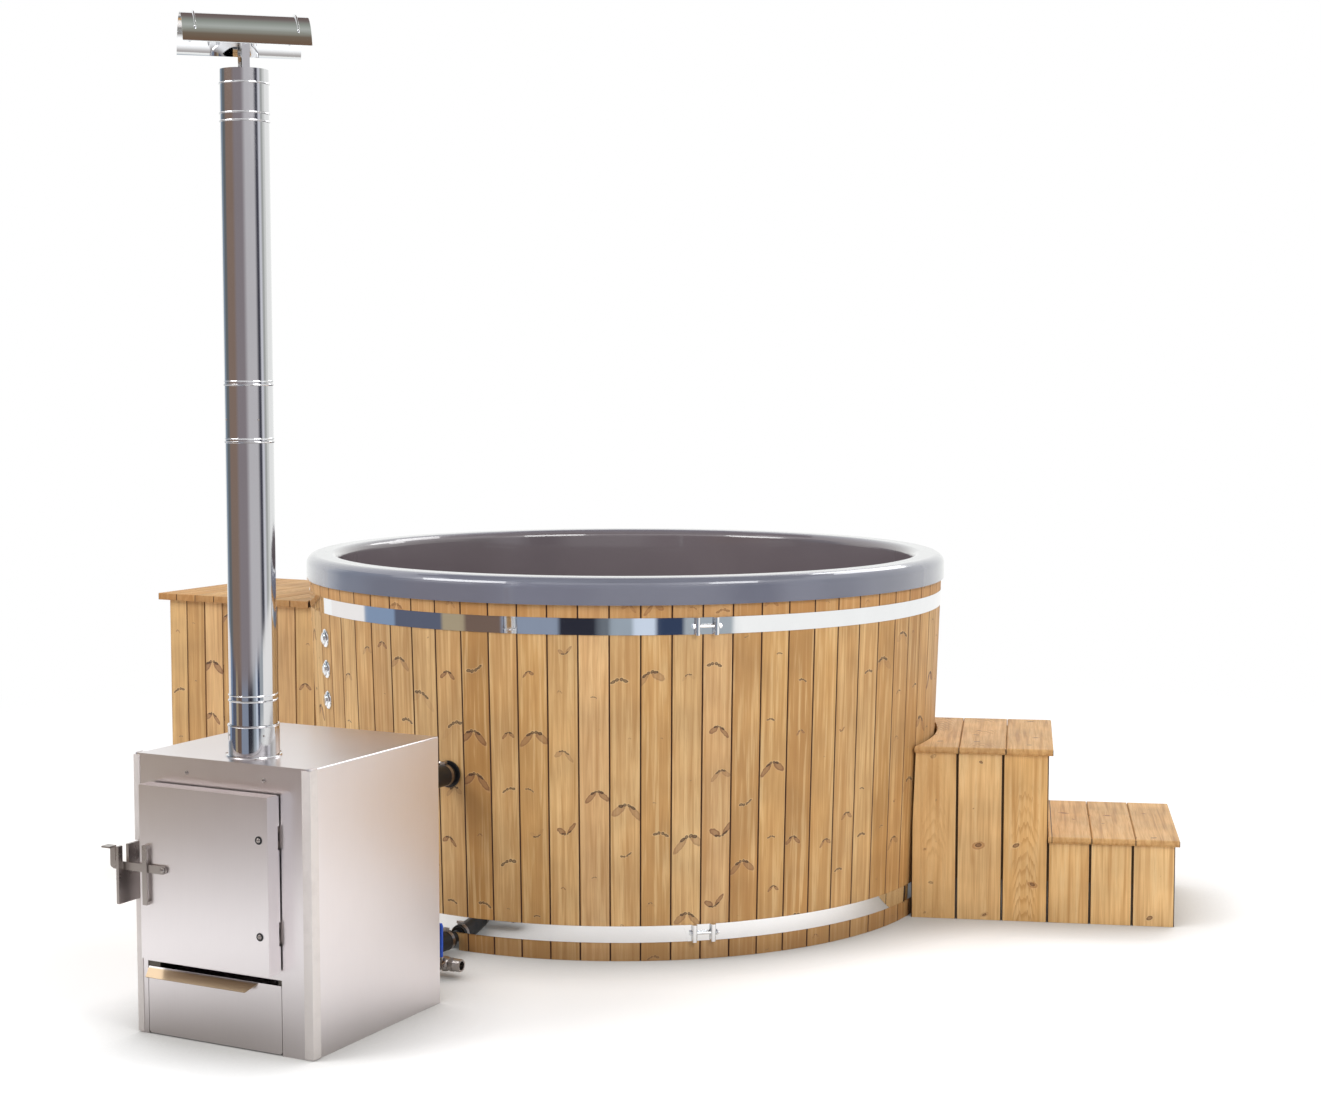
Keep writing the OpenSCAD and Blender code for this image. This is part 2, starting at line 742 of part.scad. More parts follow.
up_hose_from = tail_start;
up_hose_to = furnace_back - 12;
low_hose_to = furnace_back - 12;

module upper_hose() {
    color(black) hose(up_z, up_hose_d, up_hose_from, up_hose_to);
}

// The lower hose comes in two lengths, one on each side of the drain tee
module lower_hose() {
    color(black) {
        hose(low_z, low_hose_d, low_tail_start, tee_y - tee_half);
        hose(low_z, low_hose_d, tee_y + tee_half, low_hose_to);
    }
}

tee_half = 30;
tee_r = low_hose_d / 2;

// Drain tee: a short body with a hose tail at both ends and a branch towards +X
module drain_tee() {
    branch_r = outlet_d / 2 + 2;
    color(iron) difference() {
        union() {
            along_hose(low_z) translate([0, 0, tee_y - tee_half - tail_l])
                cylinder(h = 2 * (tee_half + tail_l), r = low_tail_r, $fn = round_n);
            along_hose(low_z) translate([0, 0, tee_y - tee_half])
                cylinder(h = 2 * tee_half, r = tee_r, $fn = round_n);
            translate([hose_x, -tee_y, low_z]) rotate([0, 90, 0])
                cylinder(h = valve_out - 30, r = branch_r, $fn = round_n);
        }
        along_hose(low_z) translate([0, 0, tee_y - 2 * tail_l - tee_half])
            cylinder(h = 4 * (tee_half + tail_l), r = low_tail_r - pipe_wall, $fn = round_n);
        translate([hose_x, -tee_y, low_z]) rotate([0, 90, 0])
            cylinder(h = valve_out, r = branch_r - pipe_wall - 2, $fn = round_n);
    }
}

valve_x = hose_x + valve_out;
valve_r = 21;
valve_pin_d = 8;
stem_l = 30;

// Ball valve: two hexagons, a round middle, the outlet thread and the stem's boss towards -Y
module valve_body() {
    hex_r = outlet_d / 2 + 3;
    color(polished) translate([valve_x, -tee_y, low_z]) rotate([0, 90, 0]) difference() {
        union() {
            translate([0, 0, -30]) cylinder(h = 14, r = hex_r, $fn = 6);
            sphere(valve_r, $fn = round_n);
            translate([0, 0, 16]) cylinder(h = 12, r = hex_r, $fn = 6);
            translate([0, 0, 28]) cylinder(h = outlet_l, d = outlet_d, $fn = round_n);
            rotate([90, 0, 0]) cylinder(h = stem_l - 4, r = 8, $fn = round_n);
            rotate([90, 0, 0]) cylinder(h = stem_l + 6, d = valve_pin_d, $fn = round_n);
        }
        translate([0, 0, 24]) cylinder(h = 80, r = outlet_d / 2 - 4.5, $fn = round_n);
    }
}

// Lever plate on the stem, with its nut, pointing up when the valve is shut
module valve_lever() {
    color(polished) translate([valve_x, -tee_y - stem_l, low_z]) rotate([90, 0, 0]) difference() {
        union() {
            translate([0, 0, -2]) cylinder(h = 3, r = 11, $fn = round_n);
            translate([-7, 0, -2]) cube([14, lever_l - 2, 3]);
            translate([0, 0, 1]) cylinder(h = 5, r = 7.5, $fn = 6);
        }
        translate([0, 0, -5]) cylinder(h = 20, r = valve_pin_d / 2 + run_fit, $fn = round_n);
    }
}

// Plastic sleeve over the lever
module lever_grip() {
    grip_from = 26;
    color(blue) translate([valve_x, -tee_y - stem_l, low_z]) rotate([90, 0, 0]) difference() {
        translate([0, 0, -4.5]) linear_extrude(8) polygon([
            [-9, grip_from], [9, grip_from], [10, lever_l - 8], [7, lever_l], [-7, lever_l],
            [-10, lever_l - 8]]);
        translate([-7.1, 0, -2.1]) cube([14.2, lever_l - 1.8, 3.2]);
    }
}

// A worm-drive clamp round a hose
module hose_clamp(z, d, at) {
    band = 12;
    along_hose(z) translate([0, 0, at]) {
        tube(d / 2 + 1.2, d / 2 + 0.1, -band / 2, band / 2);
        difference() {
            translate([-8, d / 2, -band / 2]) cube([16, 9, band]);
            cylinder(h = 3 * band, r = d / 2 + 1, center = true, $fn = fine);
        }
        translate([-14, d / 2 + 5.5, 0]) rotate([0, 90, 0]) cylinder(h = 6.1, r = 4, $fn = 6);
    }
}

module hose_clamps() {
    inset = 16;
    color(polished) {
        for (at = [up_hose_from + inset, up_hose_to - inset]) hose_clamp(up_z, up_hose_d, at);
        for (at = [low_tail_start + inset, tee_y - tee_half - inset, tee_y + tee_half + inset,
                   low_hose_to - inset])
            hose_clamp(low_z, low_hose_d, at);
    }
}

// --- Heater -----------------------------------------------------------------------------------

front_y = -furnace_y;
casing_y = front_y + panel_round + fit;
flange_y = front_y + sheet + fit;
casing_w = furnace_w - 2 * sheet - 2 * fit;
casing_h = furnace_h - sheet - fit;
fire_x = furnace_x - door_off;
flue_x = furnace_x + flue_off;
flue_y = front_y + flue_in;
door_x = furnace_x - door_off;
drawer_x = furnace_x - drawer_off;
drawer_z = 3;
spigot_r = flue_d / 2 - flue_t - fit;
slot_top = drawer_z + drawer_h + draught_h;

// Outer casing: sides, roof, floor and back in folded sheet, open to the front
module furnace_casing() {
    corner = 4;
    color(steel) difference() {
        translate([furnace_x, casing_y, 0]) casing_block(casing_w, 0, corner, -furnace_back - casing_y);
        translate([furnace_x, casing_y - cut, 0])
            casing_block(casing_w - 2 * sheet, sheet, corner - sheet, -furnace_back - casing_y - sheet + cut);
        translate([flue_x, flue_y, casing_h - 2 * sheet])
            cylinder(h = 4 * sheet, r = spigot_r + fit, $fn = fine);
        along_hose(up_z) cylinder(h = furnace_back + 4 * sheet, r = up_tail_r + fit, $fn = round_n);
        along_hose(low_z) cylinder(h = furnace_back + 4 * sheet, r = low_tail_r + fit, $fn = round_n);
    }
}

// A block from z = inset to the casing's roof less inset, with round upper edges
module casing_block(w, inset, corner, depth) {
    top = casing_h - inset;
    translate([0, depth, 0]) rotate([90, 0, 0]) linear_extrude(depth) {
        translate([-w / 2, inset]) square([w, top - inset - corner]);
        translate([-w / 2 + corner, top - corner - cut]) square([w - 2 * corner, corner + cut]);
        for (s = [-1, 1]) translate([s * (w / 2 - corner), top - corner]) circle(corner, $fn = round_n);
    }
}

mouth_w = 274;
mouth_off = -22;
mouth_z = 245;
mouth_h = 355;

// Front panel: a folded tray with the fire mouth, the drawer opening and round upright edges
module front_panel() {
    color(steel) difference() {
        union() {
            translate([furnace_x, front_y, 0]) difference() {
                linear_extrude(furnace_h) panel_plan(furnace_w, panel_round, 0);
                translate([0, 0, -cut]) linear_extrude(furnace_h + 2 * cut)
                    panel_plan(furnace_w - 2 * sheet, panel_round - sheet, sheet);
            }
            translate([furnace_x - furnace_w / 2 + panel_round, front_y + sheet / 2, furnace_h - sheet])
                cube([furnace_w - 2 * panel_round, panel_fold - sheet / 2, sheet]);
        }
        translate([door_x + mouth_off - mouth_w / 2, front_y - cut, mouth_z])
            cube([mouth_w, 3 * sheet, mouth_h]);
        translate([drawer_x - drawer_w / 2 - drawer_gap, front_y - cut, -cut])
            cube([drawer_w + 2 * drawer_gap, 3 * sheet, slot_top + cut]);
    }
}

// Plan of the panel's tray: a strip with round front corners, open to the back
module panel_plan(w, r, front) {
    depth = panel_fold + (front > 0 ? cut : 0);
    translate([-w / 2 + r, front]) square([w - 2 * r, r]);
    translate([-w / 2, front + r]) square([w, depth - front - r]);
    for (s = [-1, 1]) translate([s * (w / 2 - r), front + r]) circle(r, $fn = round_n);
}

// Domed screws: two in the front panel over the door, three round the chimney's flange
module casing_screws() {
    screw_z = furnace_h - 37;
    color(polished) {
        for (x = [furnace_x - 102, furnace_x + 130])
            translate([x, front_y, screw_z]) rotate([90, 0, 0]) dome_head(5, 3);
        for (a = [-50, 70, 190])
            translate([flue_x, flue_y, casing_h]) rotate([0, 0, a]) translate([flange_r + 7, 0, 0])
                dome_head(4, 3);
    }
}

// Firebox: an open-fronted chamber with a flange behind the front panel, ledges and runners
module firebox() {
    wall = fire_sheet;
    low = 8;
    flange_w = furnace_w - 2 * panel_round - 2 * fit;
    color(iron) difference() {
        union() {
            translate([fire_x - fire_w / 2 - wall, flange_y, low - wall])
                cube([fire_w + 2 * wall, fire_d + wall, fire_h - low + 2 * wall]);
            translate([furnace_x - flange_w / 2, flange_y, sheet + fit])
                cube([flange_w, sheet, casing_h - 2 * sheet - 2 * fit]);
        }
        difference() {
            translate([fire_x - fire_w / 2, flange_y - cut, low]) cube([fire_w, fire_d + cut, fire_h - low]);
            // ledges for the grate
            for (s = [-1, 1]) translate([fire_x + s * (fire_w / 2 - 6) - 8, flange_y + 10, grate_z - grate_t - 8])
                cube([16, fire_d, 8]);
            // runners for the ash drawer
            for (s = [-1, 1]) translate([drawer_x + s * runner_off - 10, flange_y, 0])
                cube([20, fire_d, runner_z]);
        }
        translate([flue_x, flue_y, fire_h - cut]) cylinder(h = 3 * wall, r = spigot_r - flue_t, $fn = fine);
    }
}

grate_t = 18;
runner_z = 11.7;
runner_off = 130;

// Cast grate: a plate with slots along the fire
module fire_grate() {
    w = fire_w - 4;
    d = fire_d - 20;
    pitch = w / (grate_n + 0.5);
    color(iron) translate([fire_x - w / 2, flange_y + 12, grate_z - grate_t]) difference() {
        cube([w, d, grate_t]);
        for (i = [0:grate_n - 1])
            translate([pitch * (i + 0.5), 24, -cut]) cube([pitch * 0.5, d - 48, grate_t + 2 * cut]);
    }
}

flange_r = flue_d / 2 + 9;

// Flue collar: a spigot up from the firebox, with a flange and a short sleeve on the roof
module flue_collar() {
    foot = fire_h + fire_sheet;
    roof = casing_h;
    top = furnace_h + collar_h;
    sleeve_r = flue_d / 2 + 2;
    color(polished) translate([flue_x, flue_y, 0]) rotate_extrude($fn = fine) polygon([
        [spigot_r - flue_t, foot], [spigot_r, foot], [spigot_r, roof], [flange_r, roof],
        [flange_r + 1, roof + 2], [flange_r, roof + 4], [sleeve_r, roof + 5], [sleeve_r, top - 3],
        [sleeve_r + 1.2, top - 1.5], [sleeve_r, top], [spigot_r, top], [spigot_r, top + 24],
        [spigot_r - flue_t, top + 24]]);
}

// --- Fire door --------------------------------------------------------------------------------

door_left = door_x - door_w / 2;
door_right = door_x + door_w / 2;
door_top = door_z + door_h;
door_back = front_y - door_gap;
door_front = door_back - door_d;
hinge_x = door_right - sheet - 0.5 - knuckle_d / 2;
hinge_y = door_back + 0.5;
liner_right = hinge_x - knuckle_d / 2 - 42;
hinge_heights = [door_z + hinge_in - 5, door_top - hinge_in - 5];
strap_w = 36;

// Door tray: a front sheet with four folded sides
module door_shell() {
    color(steel) difference() {
        translate([door_left, door_front, door_z]) cube([door_w, door_d, door_h]);
        translate([door_left + sheet, door_front + sheet, door_z + sheet])
            cube([door_w - 2 * sheet, door_d, door_h - 2 * sheet]);
        for (z = hinge_heights) translate([bolt_x, door_front - cut, z]) rotate([-90, 0, 0])
            cylinder(h = 4 * sheet, r = 3 + fit, $fn = round_n);
    }
}

bolt_x = hinge_x - 19;
liner_t = door_d + door_gap - sheet - 9;

// Insulated inner plate of the door
module door_liner() {
    color(iron) translate([door_left + sheet, door_front + sheet, door_z + sheet])
        cube([liner_right - door_left - sheet, liner_t, door_h - 2 * sheet]);
}

// Sealing rope, a rounded frame between the inner plate and the front panel
module door_seal() {
    rope = 12;
    w = mouth_w + 2 * rope + 4;
    h = mouth_h + 2 * rope + 4;
    from = door_front + sheet + liner_t;
    color("#8a8378") translate([door_x + mouth_off, front_y - seal_gap, mouth_z + mouth_h / 2])
        rotate([90, 0, 0]) linear_extrude(front_y - seal_gap - from) difference() {
            round_rect(w, h, 2 * rope);
            round_rect(w - 2 * rope, h - 2 * rope, rope);
        }
}

// Bolts that hold the hinge straps to the door's front
module door_bolts() {
    color(polished) for (z = hinge_heights) translate([bolt_x, door_front, z]) {
        rotate([90, 0, 0]) dome_head(6, 5);
        rotate([-90, 0, 0]) cylinder(h = sheet + 4, r = 3, $fn = round_n);
    }
}

// Door straps: a plate on the front sheet, a web and the middle knuckle
module door_knuckles() {
    half = 9.5;
    color(steel) for (z = hinge_heights) difference() {
        union() {
            translate([hinge_x + 2 - strap_w, door_front + sheet, z - 18]) cube([strap_w, 4, 36]);
            translate([hinge_x - 2, door_front + sheet + 3, z - half])
                cube([4, hinge_y - door_front - sheet - 3, 2 * half]);
            translate([hinge_x, hinge_y, z - half]) cylinder(h = 2 * half, d = knuckle_d, $fn = round_n);
        }
        translate([hinge_x, hinge_y, z - 2 * half]) cylinder(h = 4 * half, d = pin_d + 2 * run_fit, $fn = round_n);
        translate([bolt_x, door_front, z]) rotate([-90, 0, 0]) cylinder(h = 20, r = 3 + 0.1, $fn = round_n);
    }
}

// Fixed knuckles above and below each door knuckle, held to the panel from the left
module hinge_brackets() {
    color(steel) for (z = hinge_heights, side = [-1, 1]) difference() {
        union() {
            translate([hinge_x, hinge_y, z + side * 18 - 8]) cylinder(h = 16, d = knuckle_d, $fn = round_n);
            translate([hinge_x, hinge_y, z + side * 18 - 8]) linear_extrude(16) polygon([
                [-knuckle_d / 2, 0], [-1.5, 1], [-1.5, front_y - hinge_y], [-knuckle_d - 8, front_y - hinge_y],
                [-knuckle_d - 8, front_y - hinge_y - 3]]);
        }
        translate([hinge_x, hinge_y, z + side * 18 - 20]) cylinder(h = 40, d = pin_d, $fn = round_n);
    }
}

module hinge_pins() {
    color(polished) for (z = hinge_heights) translate([hinge_x, hinge_y, z - 27]) {
        cylinder(h = 54, d = pin_d - 0.04, $fn = round_n);
        translate([0, 0, 53.2]) cylinder(h = 3, d = knuckle_d - 1, $fn = round_n);
    }
}

// --- Door latch -------------------------------------------------------------------------------

pivot_x = door_left + latch_in;
pivot_d = 8;
bar_back = door_front - 2;
bar_front = bar_back - bar_t;
keeper_x = pivot_x - keeper_in;
keeper_low = latch_z - 92;
keeper_top = latch_z + 51;
guide_low = latch_z - 90;
guide_top = latch_z + 57;

// Guide strap: a bridge on the door that the bar slides up and down behind
module latch_guide() {
    foot = 8;
    strap_back = bar_front - 1;
    color(steel) translate([pivot_x - guide_in - guide_w, 0, 0]) {
        translate([0, strap_back - 4, guide_low]) cube([guide_w, 4, guide_top - guide_low]);
        for (z = [guide_low, guide_top - foot])
            translate([0, strap_back, z]) cube([guide_w, door_front - strap_back, foot]);
    }
}

// Pivot bolt with a spacer behind the bar and a domed head before it
module latch_pivot() {
    color(polished) translate([pivot_x, door_front, latch_z]) rotate([90, 0, 0]) {
        cylinder(h = 1.8, r = 8, $fn = round_n);
        cylinder(h = bar_t + 2.4, d = pivot_d, $fn = round_n);
        translate([0, 0, bar_t + 2.3]) dome_head(7, 4.5);
    }
}

// Latch bar with a round pivot end, an upright grip and a bent thumb tab
module latch_bar() {
    grip_w = 16;
    tab = 25;
    color(steel) difference() {
        translate([pivot_x, bar_back, latch_z]) rotate([90, 0, 0]) {
            linear_extrude(bar_t) {
                circle(bar_h / 2, $fn = round_n);
                translate([-bar_l + grip_w / 2, -bar_h / 2]) square([bar_l - grip_w / 2, bar_h]);
                translate([-bar_l, 0]) square([grip_w, 48]);
                translate([-bar_l + grip_w / 2, 0]) circle(grip_w / 2, $fn = round_n);
            }
            translate([-bar_l - 10, 44, 0]) cube([grip_w + 10, 4, tab]);
        }
        translate([pivot_x, 0, latch_z]) rotate([90, 0, 0])
            cylinder(h = 2 * furnace_y, d = pivot_d + 2 * run_fit, $fn = round_n);
    }
}

// Keeper: a plate that stands out of the front panel, with a slot for the bar, open at the top
module keeper() {
    color(steel) difference() {
        translate([keeper_x - keeper_t, front_y - keeper_d, keeper_low])
            cube([keeper_t, keeper_d, keeper_top - keeper_low]);
        translate([keeper_x - keeper_t - cut, front_y - keeper_d + horn_w, latch_z - bar_h / 2 - fit])
            cube([keeper_t + 2 * cut, slot_w, 2 * bar_h + 200]);
    }
}

// --- Ash drawer -------------------------------------------------------------------------------

tray_w = fire_w - 10;

// Ash drawer: a front sheet with a folded handle flap, and an open tray behind it
module ash_drawer() {
    wall = 1.5;
    tray_h = drawer_h - 12;
    color(steel) {
        translate([drawer_x, front_y + sheet, drawer_z]) rotate([90, 0, 0]) linear_extrude(sheet) {
            translate([-drawer_w / 2, 8]) square([drawer_w, drawer_h - 8]);
            translate([-drawer_w / 2 + 8, 0]) square([drawer_w - 16, 9]);
            for (s = [-1, 1]) translate([s * (drawer_w / 2 - 8), 8]) circle(8, $fn = round_n);
        }
        translate([fire_x - tray_w / 2, front_y + sheet - 0.2, runner_z + fit]) difference() {
            cube([tray_w, tray_d, tray_h - 12]);
            translate([wall, wall, wall]) cube([tray_w - 2 * wall, tray_d - 2 * wall, tray_h]);
        }
        translate([drawer_x - drawer_w / 2 + 1, front_y + 0.5, drawer_z + drawer_h])
            rotate([180 + flap_tilt, 0, 0]) linear_extrude(sheet)
            polygon([[0, -0.5], [flap_l, -0.5], [flap_l - flap_cut, flap_w], [flap_cut / 3, flap_w]]);
    }
}

// --- Chimney and cowl -------------------------------------------------------------------------

flue_top = furnace_h + flue_h;
joint_z = furnace_h + flue_joint;

// Outline of a pipe from one height to another, with beads at the given heights
function pipe_outline(from, to, beads) = concat(
    [[flue_d / 2 - flue_t, to], [flue_d / 2 - flue_t, from], [flue_d / 2, from]],
    [for (z = beads, a = [-90:30:90]) [flue_d / 2 + bead * cos(a), z + bead * sin(a)]],
    [[flue_d / 2, to]]);

module chimney_lower() {
    foot = furnace_h + collar_h;
    color(polished) translate([flue_x, flue_y, 0]) rotate_extrude($fn = fine)
        polygon(pipe_outline(foot, joint_z, [foot + 107, joint_z - bead_off]));
}

// The upper pipe has a spigot that goes down inside the lower one
module chimney_upper() {
    color(polished) translate([flue_x, flue_y, 0]) {
        rotate_extrude($fn = fine) polygon(pipe_outline(joint_z, flue_top,
            [joint_z + bead_off, flue_top - 123, flue_top - 104, flue_top - 33]));
        tube(spigot_r, spigot_r - flue_t, joint_z - 50, joint_z);
        tube(flue_d / 2 - flue_t, spigot_r - flue_t, joint_z, joint_z + 4);
    }
}

crown_z = flue_top + cowl_up;
arch_z = crown_z - cowl_r;

// Places a child on the chimney's axis with +X along the cowl
module at_cowl() {
    translate([flue_x, flue_y, 0]) rotate([0, 0, cowl_turn]) children();
}

// Cowl roof: a curved sheet, open at both ends, with four holes for the rods
module cowl_roof() {
    color(polished) at_cowl() difference() {
        translate([-cowl_l / 2, 0, arch_z]) rotate([90, 0, 90]) linear_extrude(cowl_l) difference() {
            circle(cowl_r, $fn = fine);
            circle(cowl_r - cowl_t, $fn = fine);
            translate([-2 * cowl_r, cowl_r - cowl_rise - 4 * cowl_r]) square([4 * cowl_r, 4 * cowl_r]);
        }
        for (x = [-1, 1], a = [-rod_angle, rod_angle])
            translate([x * rod_off, 0, arch_z]) rotate([a, 0, 0])
                cylinder(h = 2 * cowl_r, d = rod_d + 2 * fit, $fn = round_n);
    }
}

rod_angle = 52;

// Rods over the cowl: each lies on the arch and goes in through it at both ends
module cowl_rods() {
    bend = cowl_r + rod_d / 2 + fit;
    color(polished) at_cowl() for (x = [-1, 1]) translate([x * rod_off, 0, arch_z]) {
        rotate([90, 0, 90]) rotate([0, 0, 90 - rod_angle]) rotate_extrude(angle = 2 * rod_angle, $fn = fine)
            translate([bend, 0]) circle(d = rod_d, $fn = round_n);
        for (a = [-rod_angle, rod_angle]) rotate([a, 0, 0]) {
            translate([0, 0, bend - 16]) cylinder(h = 16, d = rod_d, $fn = round_n);
            translate([0, 0, bend]) sphere(d = rod_d, $fn = round_n);
        }
    }
}

// Two flat legs from inside the pipe up to the roof, each with a tab that lies on the arch
module cowl_bracket() {
    leg_y = sqrt(pow(flue_d / 2 - flue_t - fit, 2) - pow(leg_w / 2, 2));
    tab_turn = 33;
    tab_r = cowl_r - cowl_t - fit;
    color(polished) at_cowl() for (side = [0, 180]) rotate([0, 0, side])
        translate([-leg_w / 2, 0, 0]) rotate([90, 0, 90]) linear_extrude(leg_w) {
            translate([leg_y - leg_t, flue_top - 40]) square([leg_t, 55]);
            polygon([[leg_y - leg_t, flue_top + 13], [leg_y, flue_top + 13],
                     [tab_r * sin(tab_turn), arch_z + tab_r * cos(tab_turn) - 1],
                     [tab_r * sin(tab_turn) - leg_t - 1, arch_z + tab_r * cos(tab_turn) - 2]]);
            translate([0, arch_z]) rotate(-tab_turn) translate([-13, tab_r - leg_t - 0.6]) square([26, leg_t]);
        }
}

// --- Filter cabinet ---------------------------------------------------------------------------

cab_left = -cab_x + lid_over;
cab_face = -cab_front + lid_over;
cab_rear = cab_back - lid_over;
board_h = cab_h - lid_t;
lid_r = rim_r + 4;
// Where the boards and rails end, inside the tub's wall
inner_x = 57 - sqrt(pow(tub_r_foot, 2) - pow(cab_face, 2));
shelf_z = 60;
shelf_t = 18;

// Cuts away what would reach into the tub or its hoops
module clear_of_tub() {
    difference() {
        children();
        tub_space(wall_gap);
    }
}

// A square post from the ground
module cab_post(x, y, h) {
    translate([x, y, 0]) cube([post_w, post_w, h]);
}

// Posts, rails and the shelf that carries the filter and the pump
module cabinet_frame() {
    left = cab_left + cab_board_t;
    front = cab_face + cab_board_t;
    rear = cab_rear - cab_board_t - post_w;
    inner_front = -sqrt(pow(tub_r_top, 2) - pow(front, 2)) - post_w - wall_gap;
    inner_rear = -rim_r - post_w - wall_gap - 8;
    color(frame_wood) clear_of_tub() {
        for (y = [front, rear]) cab_post(left, y, board_h);
        cab_post(inner_front, front, board_h);
        cab_post(inner_rear, rear, board_h);
        for (z = [shelf_z - post_w, board_h - post_w]) {
            for (y = [front, rear]) translate([left + post_w, y, z])
                cube([inner_x - left - post_w, post_w, post_w]);
            translate([left, front + post_w, z]) cube([post_w, rear - front - post_w, post_w]);
        }
        translate([left, front + post_w / 2, shelf_z]) cube([inner_x - left, rear - front, shelf_t]);
    }
}

// A row of upright boards along +X from the origin
module board_row(count, w, t, h, gap) {
    for (i = [0:count - 1]) translate([i * w + gap / 2, 0, 0]) upright_board(w - gap, t, h, 2.5);
}

// Upright boards on the cabinet's front, left side and back
module cabinet_boards() {
    gap = 1;
    front_n = ceil((inner_x - cab_left - 20) / cab_board_w);
    side_l = cab_rear - cab_face - 2 * cab_board_t;
    side_n = round(side_l / cab_board_w);
    color(wood) clear_of_tub() {
        translate([cab_left, cab_face, 0]) board_row(front_n, cab_board_w, cab_board_t, board_h, gap);
        translate([cab_left, cab_rear - cab_board_t, 0]) rotate([0, 0, -90])
            board_row(side_n, side_l / side_n, cab_board_t, board_h, gap);
        translate([cab_left + front_n * cab_board_w, cab_rear, 0]) rotate([0, 0, 180])
            board_row(front_n, cab_board_w, cab_board_t, board_h, gap);
    }
}

// Lid: boards side by side, cut to the tub's curve, with battens under them
module cabinet_lid() {
    w = cab_front + cab_back;
    n = 6;
    pitch = w / n;
    chamfer = 2;
    batten_t = 20;
    color(pale_wood) difference() {
        union() {
            for (i = [0:n - 1]) translate([-cab_x, -cab_front + i * pitch + 0.5, board_h + fit])
                rotate([90, 0, 90]) linear_extrude(cab_x + inner_x) polygon([
                    [0, 0], [pitch - 1, 0], [pitch - 1, lid_t - fit - chamfer],
                    [pitch - 1 - chamfer, lid_t - fit], [chamfer, lid_t - fit], [0, lid_t - fit - chamfer]]);
            for (x = [cab_left + 120, -lid_r - 98])
                translate([x, cab_face + cab_board_t + post_w + 6, board_h + fit - batten_t])
                    cube([50, cab_rear - cab_face - 2 * cab_board_t - 2 * post_w - 12, batten_t]);
        }
        translate([0, 0, board_h - 100]) cylinder(h = 300, r = lid_r, $fn = fine);
    }
}

lid_axis_x = cab_left - 8;
lid_axis_z = board_h - 4;
lid_pin_r = 2;
lid_hinges = [cab_face + 90, cab_rear - 90];

// Fixed hinge leaves on the left boards, each with two knuckles and its pin
module hinge_leaves() {
    color(iron) for (y = lid_hinges) translate([lid_axis_x, y, lid_axis_z]) {
        difference() {
            union() {
                for (s = [-1, 1]) translate([0, s * 20 - 10, 0]) rotate([-90, 0, 0])
                    cylinder(h = 20, r = 4, $fn = round_n);
                for (s = [-1, 1]) translate([0, s * 20 - 10, -3]) cube([8 - 0.1, 20, 3]);
                translate([5.5, -30, -32]) cube([2.4, 60, 31]);
            }
            translate([0, -40, 0]) rotate([-90, 0, 0]) cylinder(h = 80, r = lid_pin_r + 0.02, $fn = round_n);
        }
        translate([0, -31, 0]) rotate([-90, 0, 0]) cylinder(h = 62, r = lid_pin_r, $fn = round_n);
    }
}

// Moving hinge straps under the lid's overhang
module lid_straps() {
    color(iron) for (y = lid_hinges) translate([lid_axis_x, y, lid_axis_z]) difference() {
        union() {
            translate([0, -9.7, 0]) rotate([-90, 0, 0]) cylinder(h = 19.4, r = 4, $fn = round_n);
            translate([-4.6, -9.7, 0]) cube([4.6, 19.4, 4 + fit - 0.1]);
            translate([-20, -30, 4 + fit - 2.5]) cube([15.8, 60, 2.4]);
        }
        translate([0, -40, 0]) rotate([-90, 0, 0]) cylinder(h = 80, r = lid_pin_r + run_fit, $fn = round_n);
    }
}

tank_x = 196 - cab_x;
tank_r = 120;
tank_h = 450;
tank_foot = shelf_z + shelf_t;
pump_x = 101 - cab_x;

// Filter tank: a domed vessel on a round foot, with the valve head on top
module filter_tank() {
    color("#4a5058") translate([tank_x, tank_y, tank_foot]) rotate_extrude($fn = fine) polygon(concat(
        [[0, 0], [tank_r - 20, 0], [tank_r - 25, 30], [tank_r, 60]],
        [[tank_r, tank_h]], arc([0, tank_h], tank_r, 0, 60, 6),
        [[head_r, tank_h + tank_r * sin(60) + 6], [head_r, return_z - tank_foot + 34],
         [0, return_z - tank_foot + 34]]));
}

// Pump: a ribbed motor on a foot, with a wet end towards the tub
module pump() {
    motor_r = 56;
    color("#2d3238") translate([pump_x, pump_y, 0]) {
        translate([0, 0, suction_z]) rotate([0, 90, 0]) {
            cylinder(h = motor_l + 1, r = motor_r, $fn = round_n);
            for (i = [0:5]) translate([0, 0, 20 + 24 * i]) cylinder(h = 5, r = motor_r + 4, $fn = round_n);
            translate([0, 0, motor_l]) cylinder(h = wet_l, r = wet_r, $fn = round_n);
        }
        translate([20, -50, tank_foot]) cube([130, 100, 30]);
    }
}

motor_l = 170;
wet_l = 60;
wet_r = 66;
pump_end = pump_x + motor_l + wet_l;
riser_x = pump_end - wet_l / 2;
head_r = 50;
bend_r = 45;

// A flange on a wall of radius r inside the bath, where a pipe towards -X goes through it
module wall_flange(y, z, r) {
    difference() {
        rotate([0, 0, 180 - asin(y / r)]) translate([r - 7, 0, z]) rotate([0, 90, 0])
            cylinder(h = 16, r = service_r + 14, $fn = round_n);
        outside_bath(-fit);
        translate([-r - cut, y, z]) rotate([0, 90, 0])
            cylinder(h = 60, r = service_r - pipe_wall, $fn = round_n);
    }
}

// A straight pipe towards +X
module service_pipe(from, y, z, to) {
    translate([from, y, z]) rotate([0, 90, 0])
        tube(service_r, service_r - pipe_wall, 0, to - from);
}

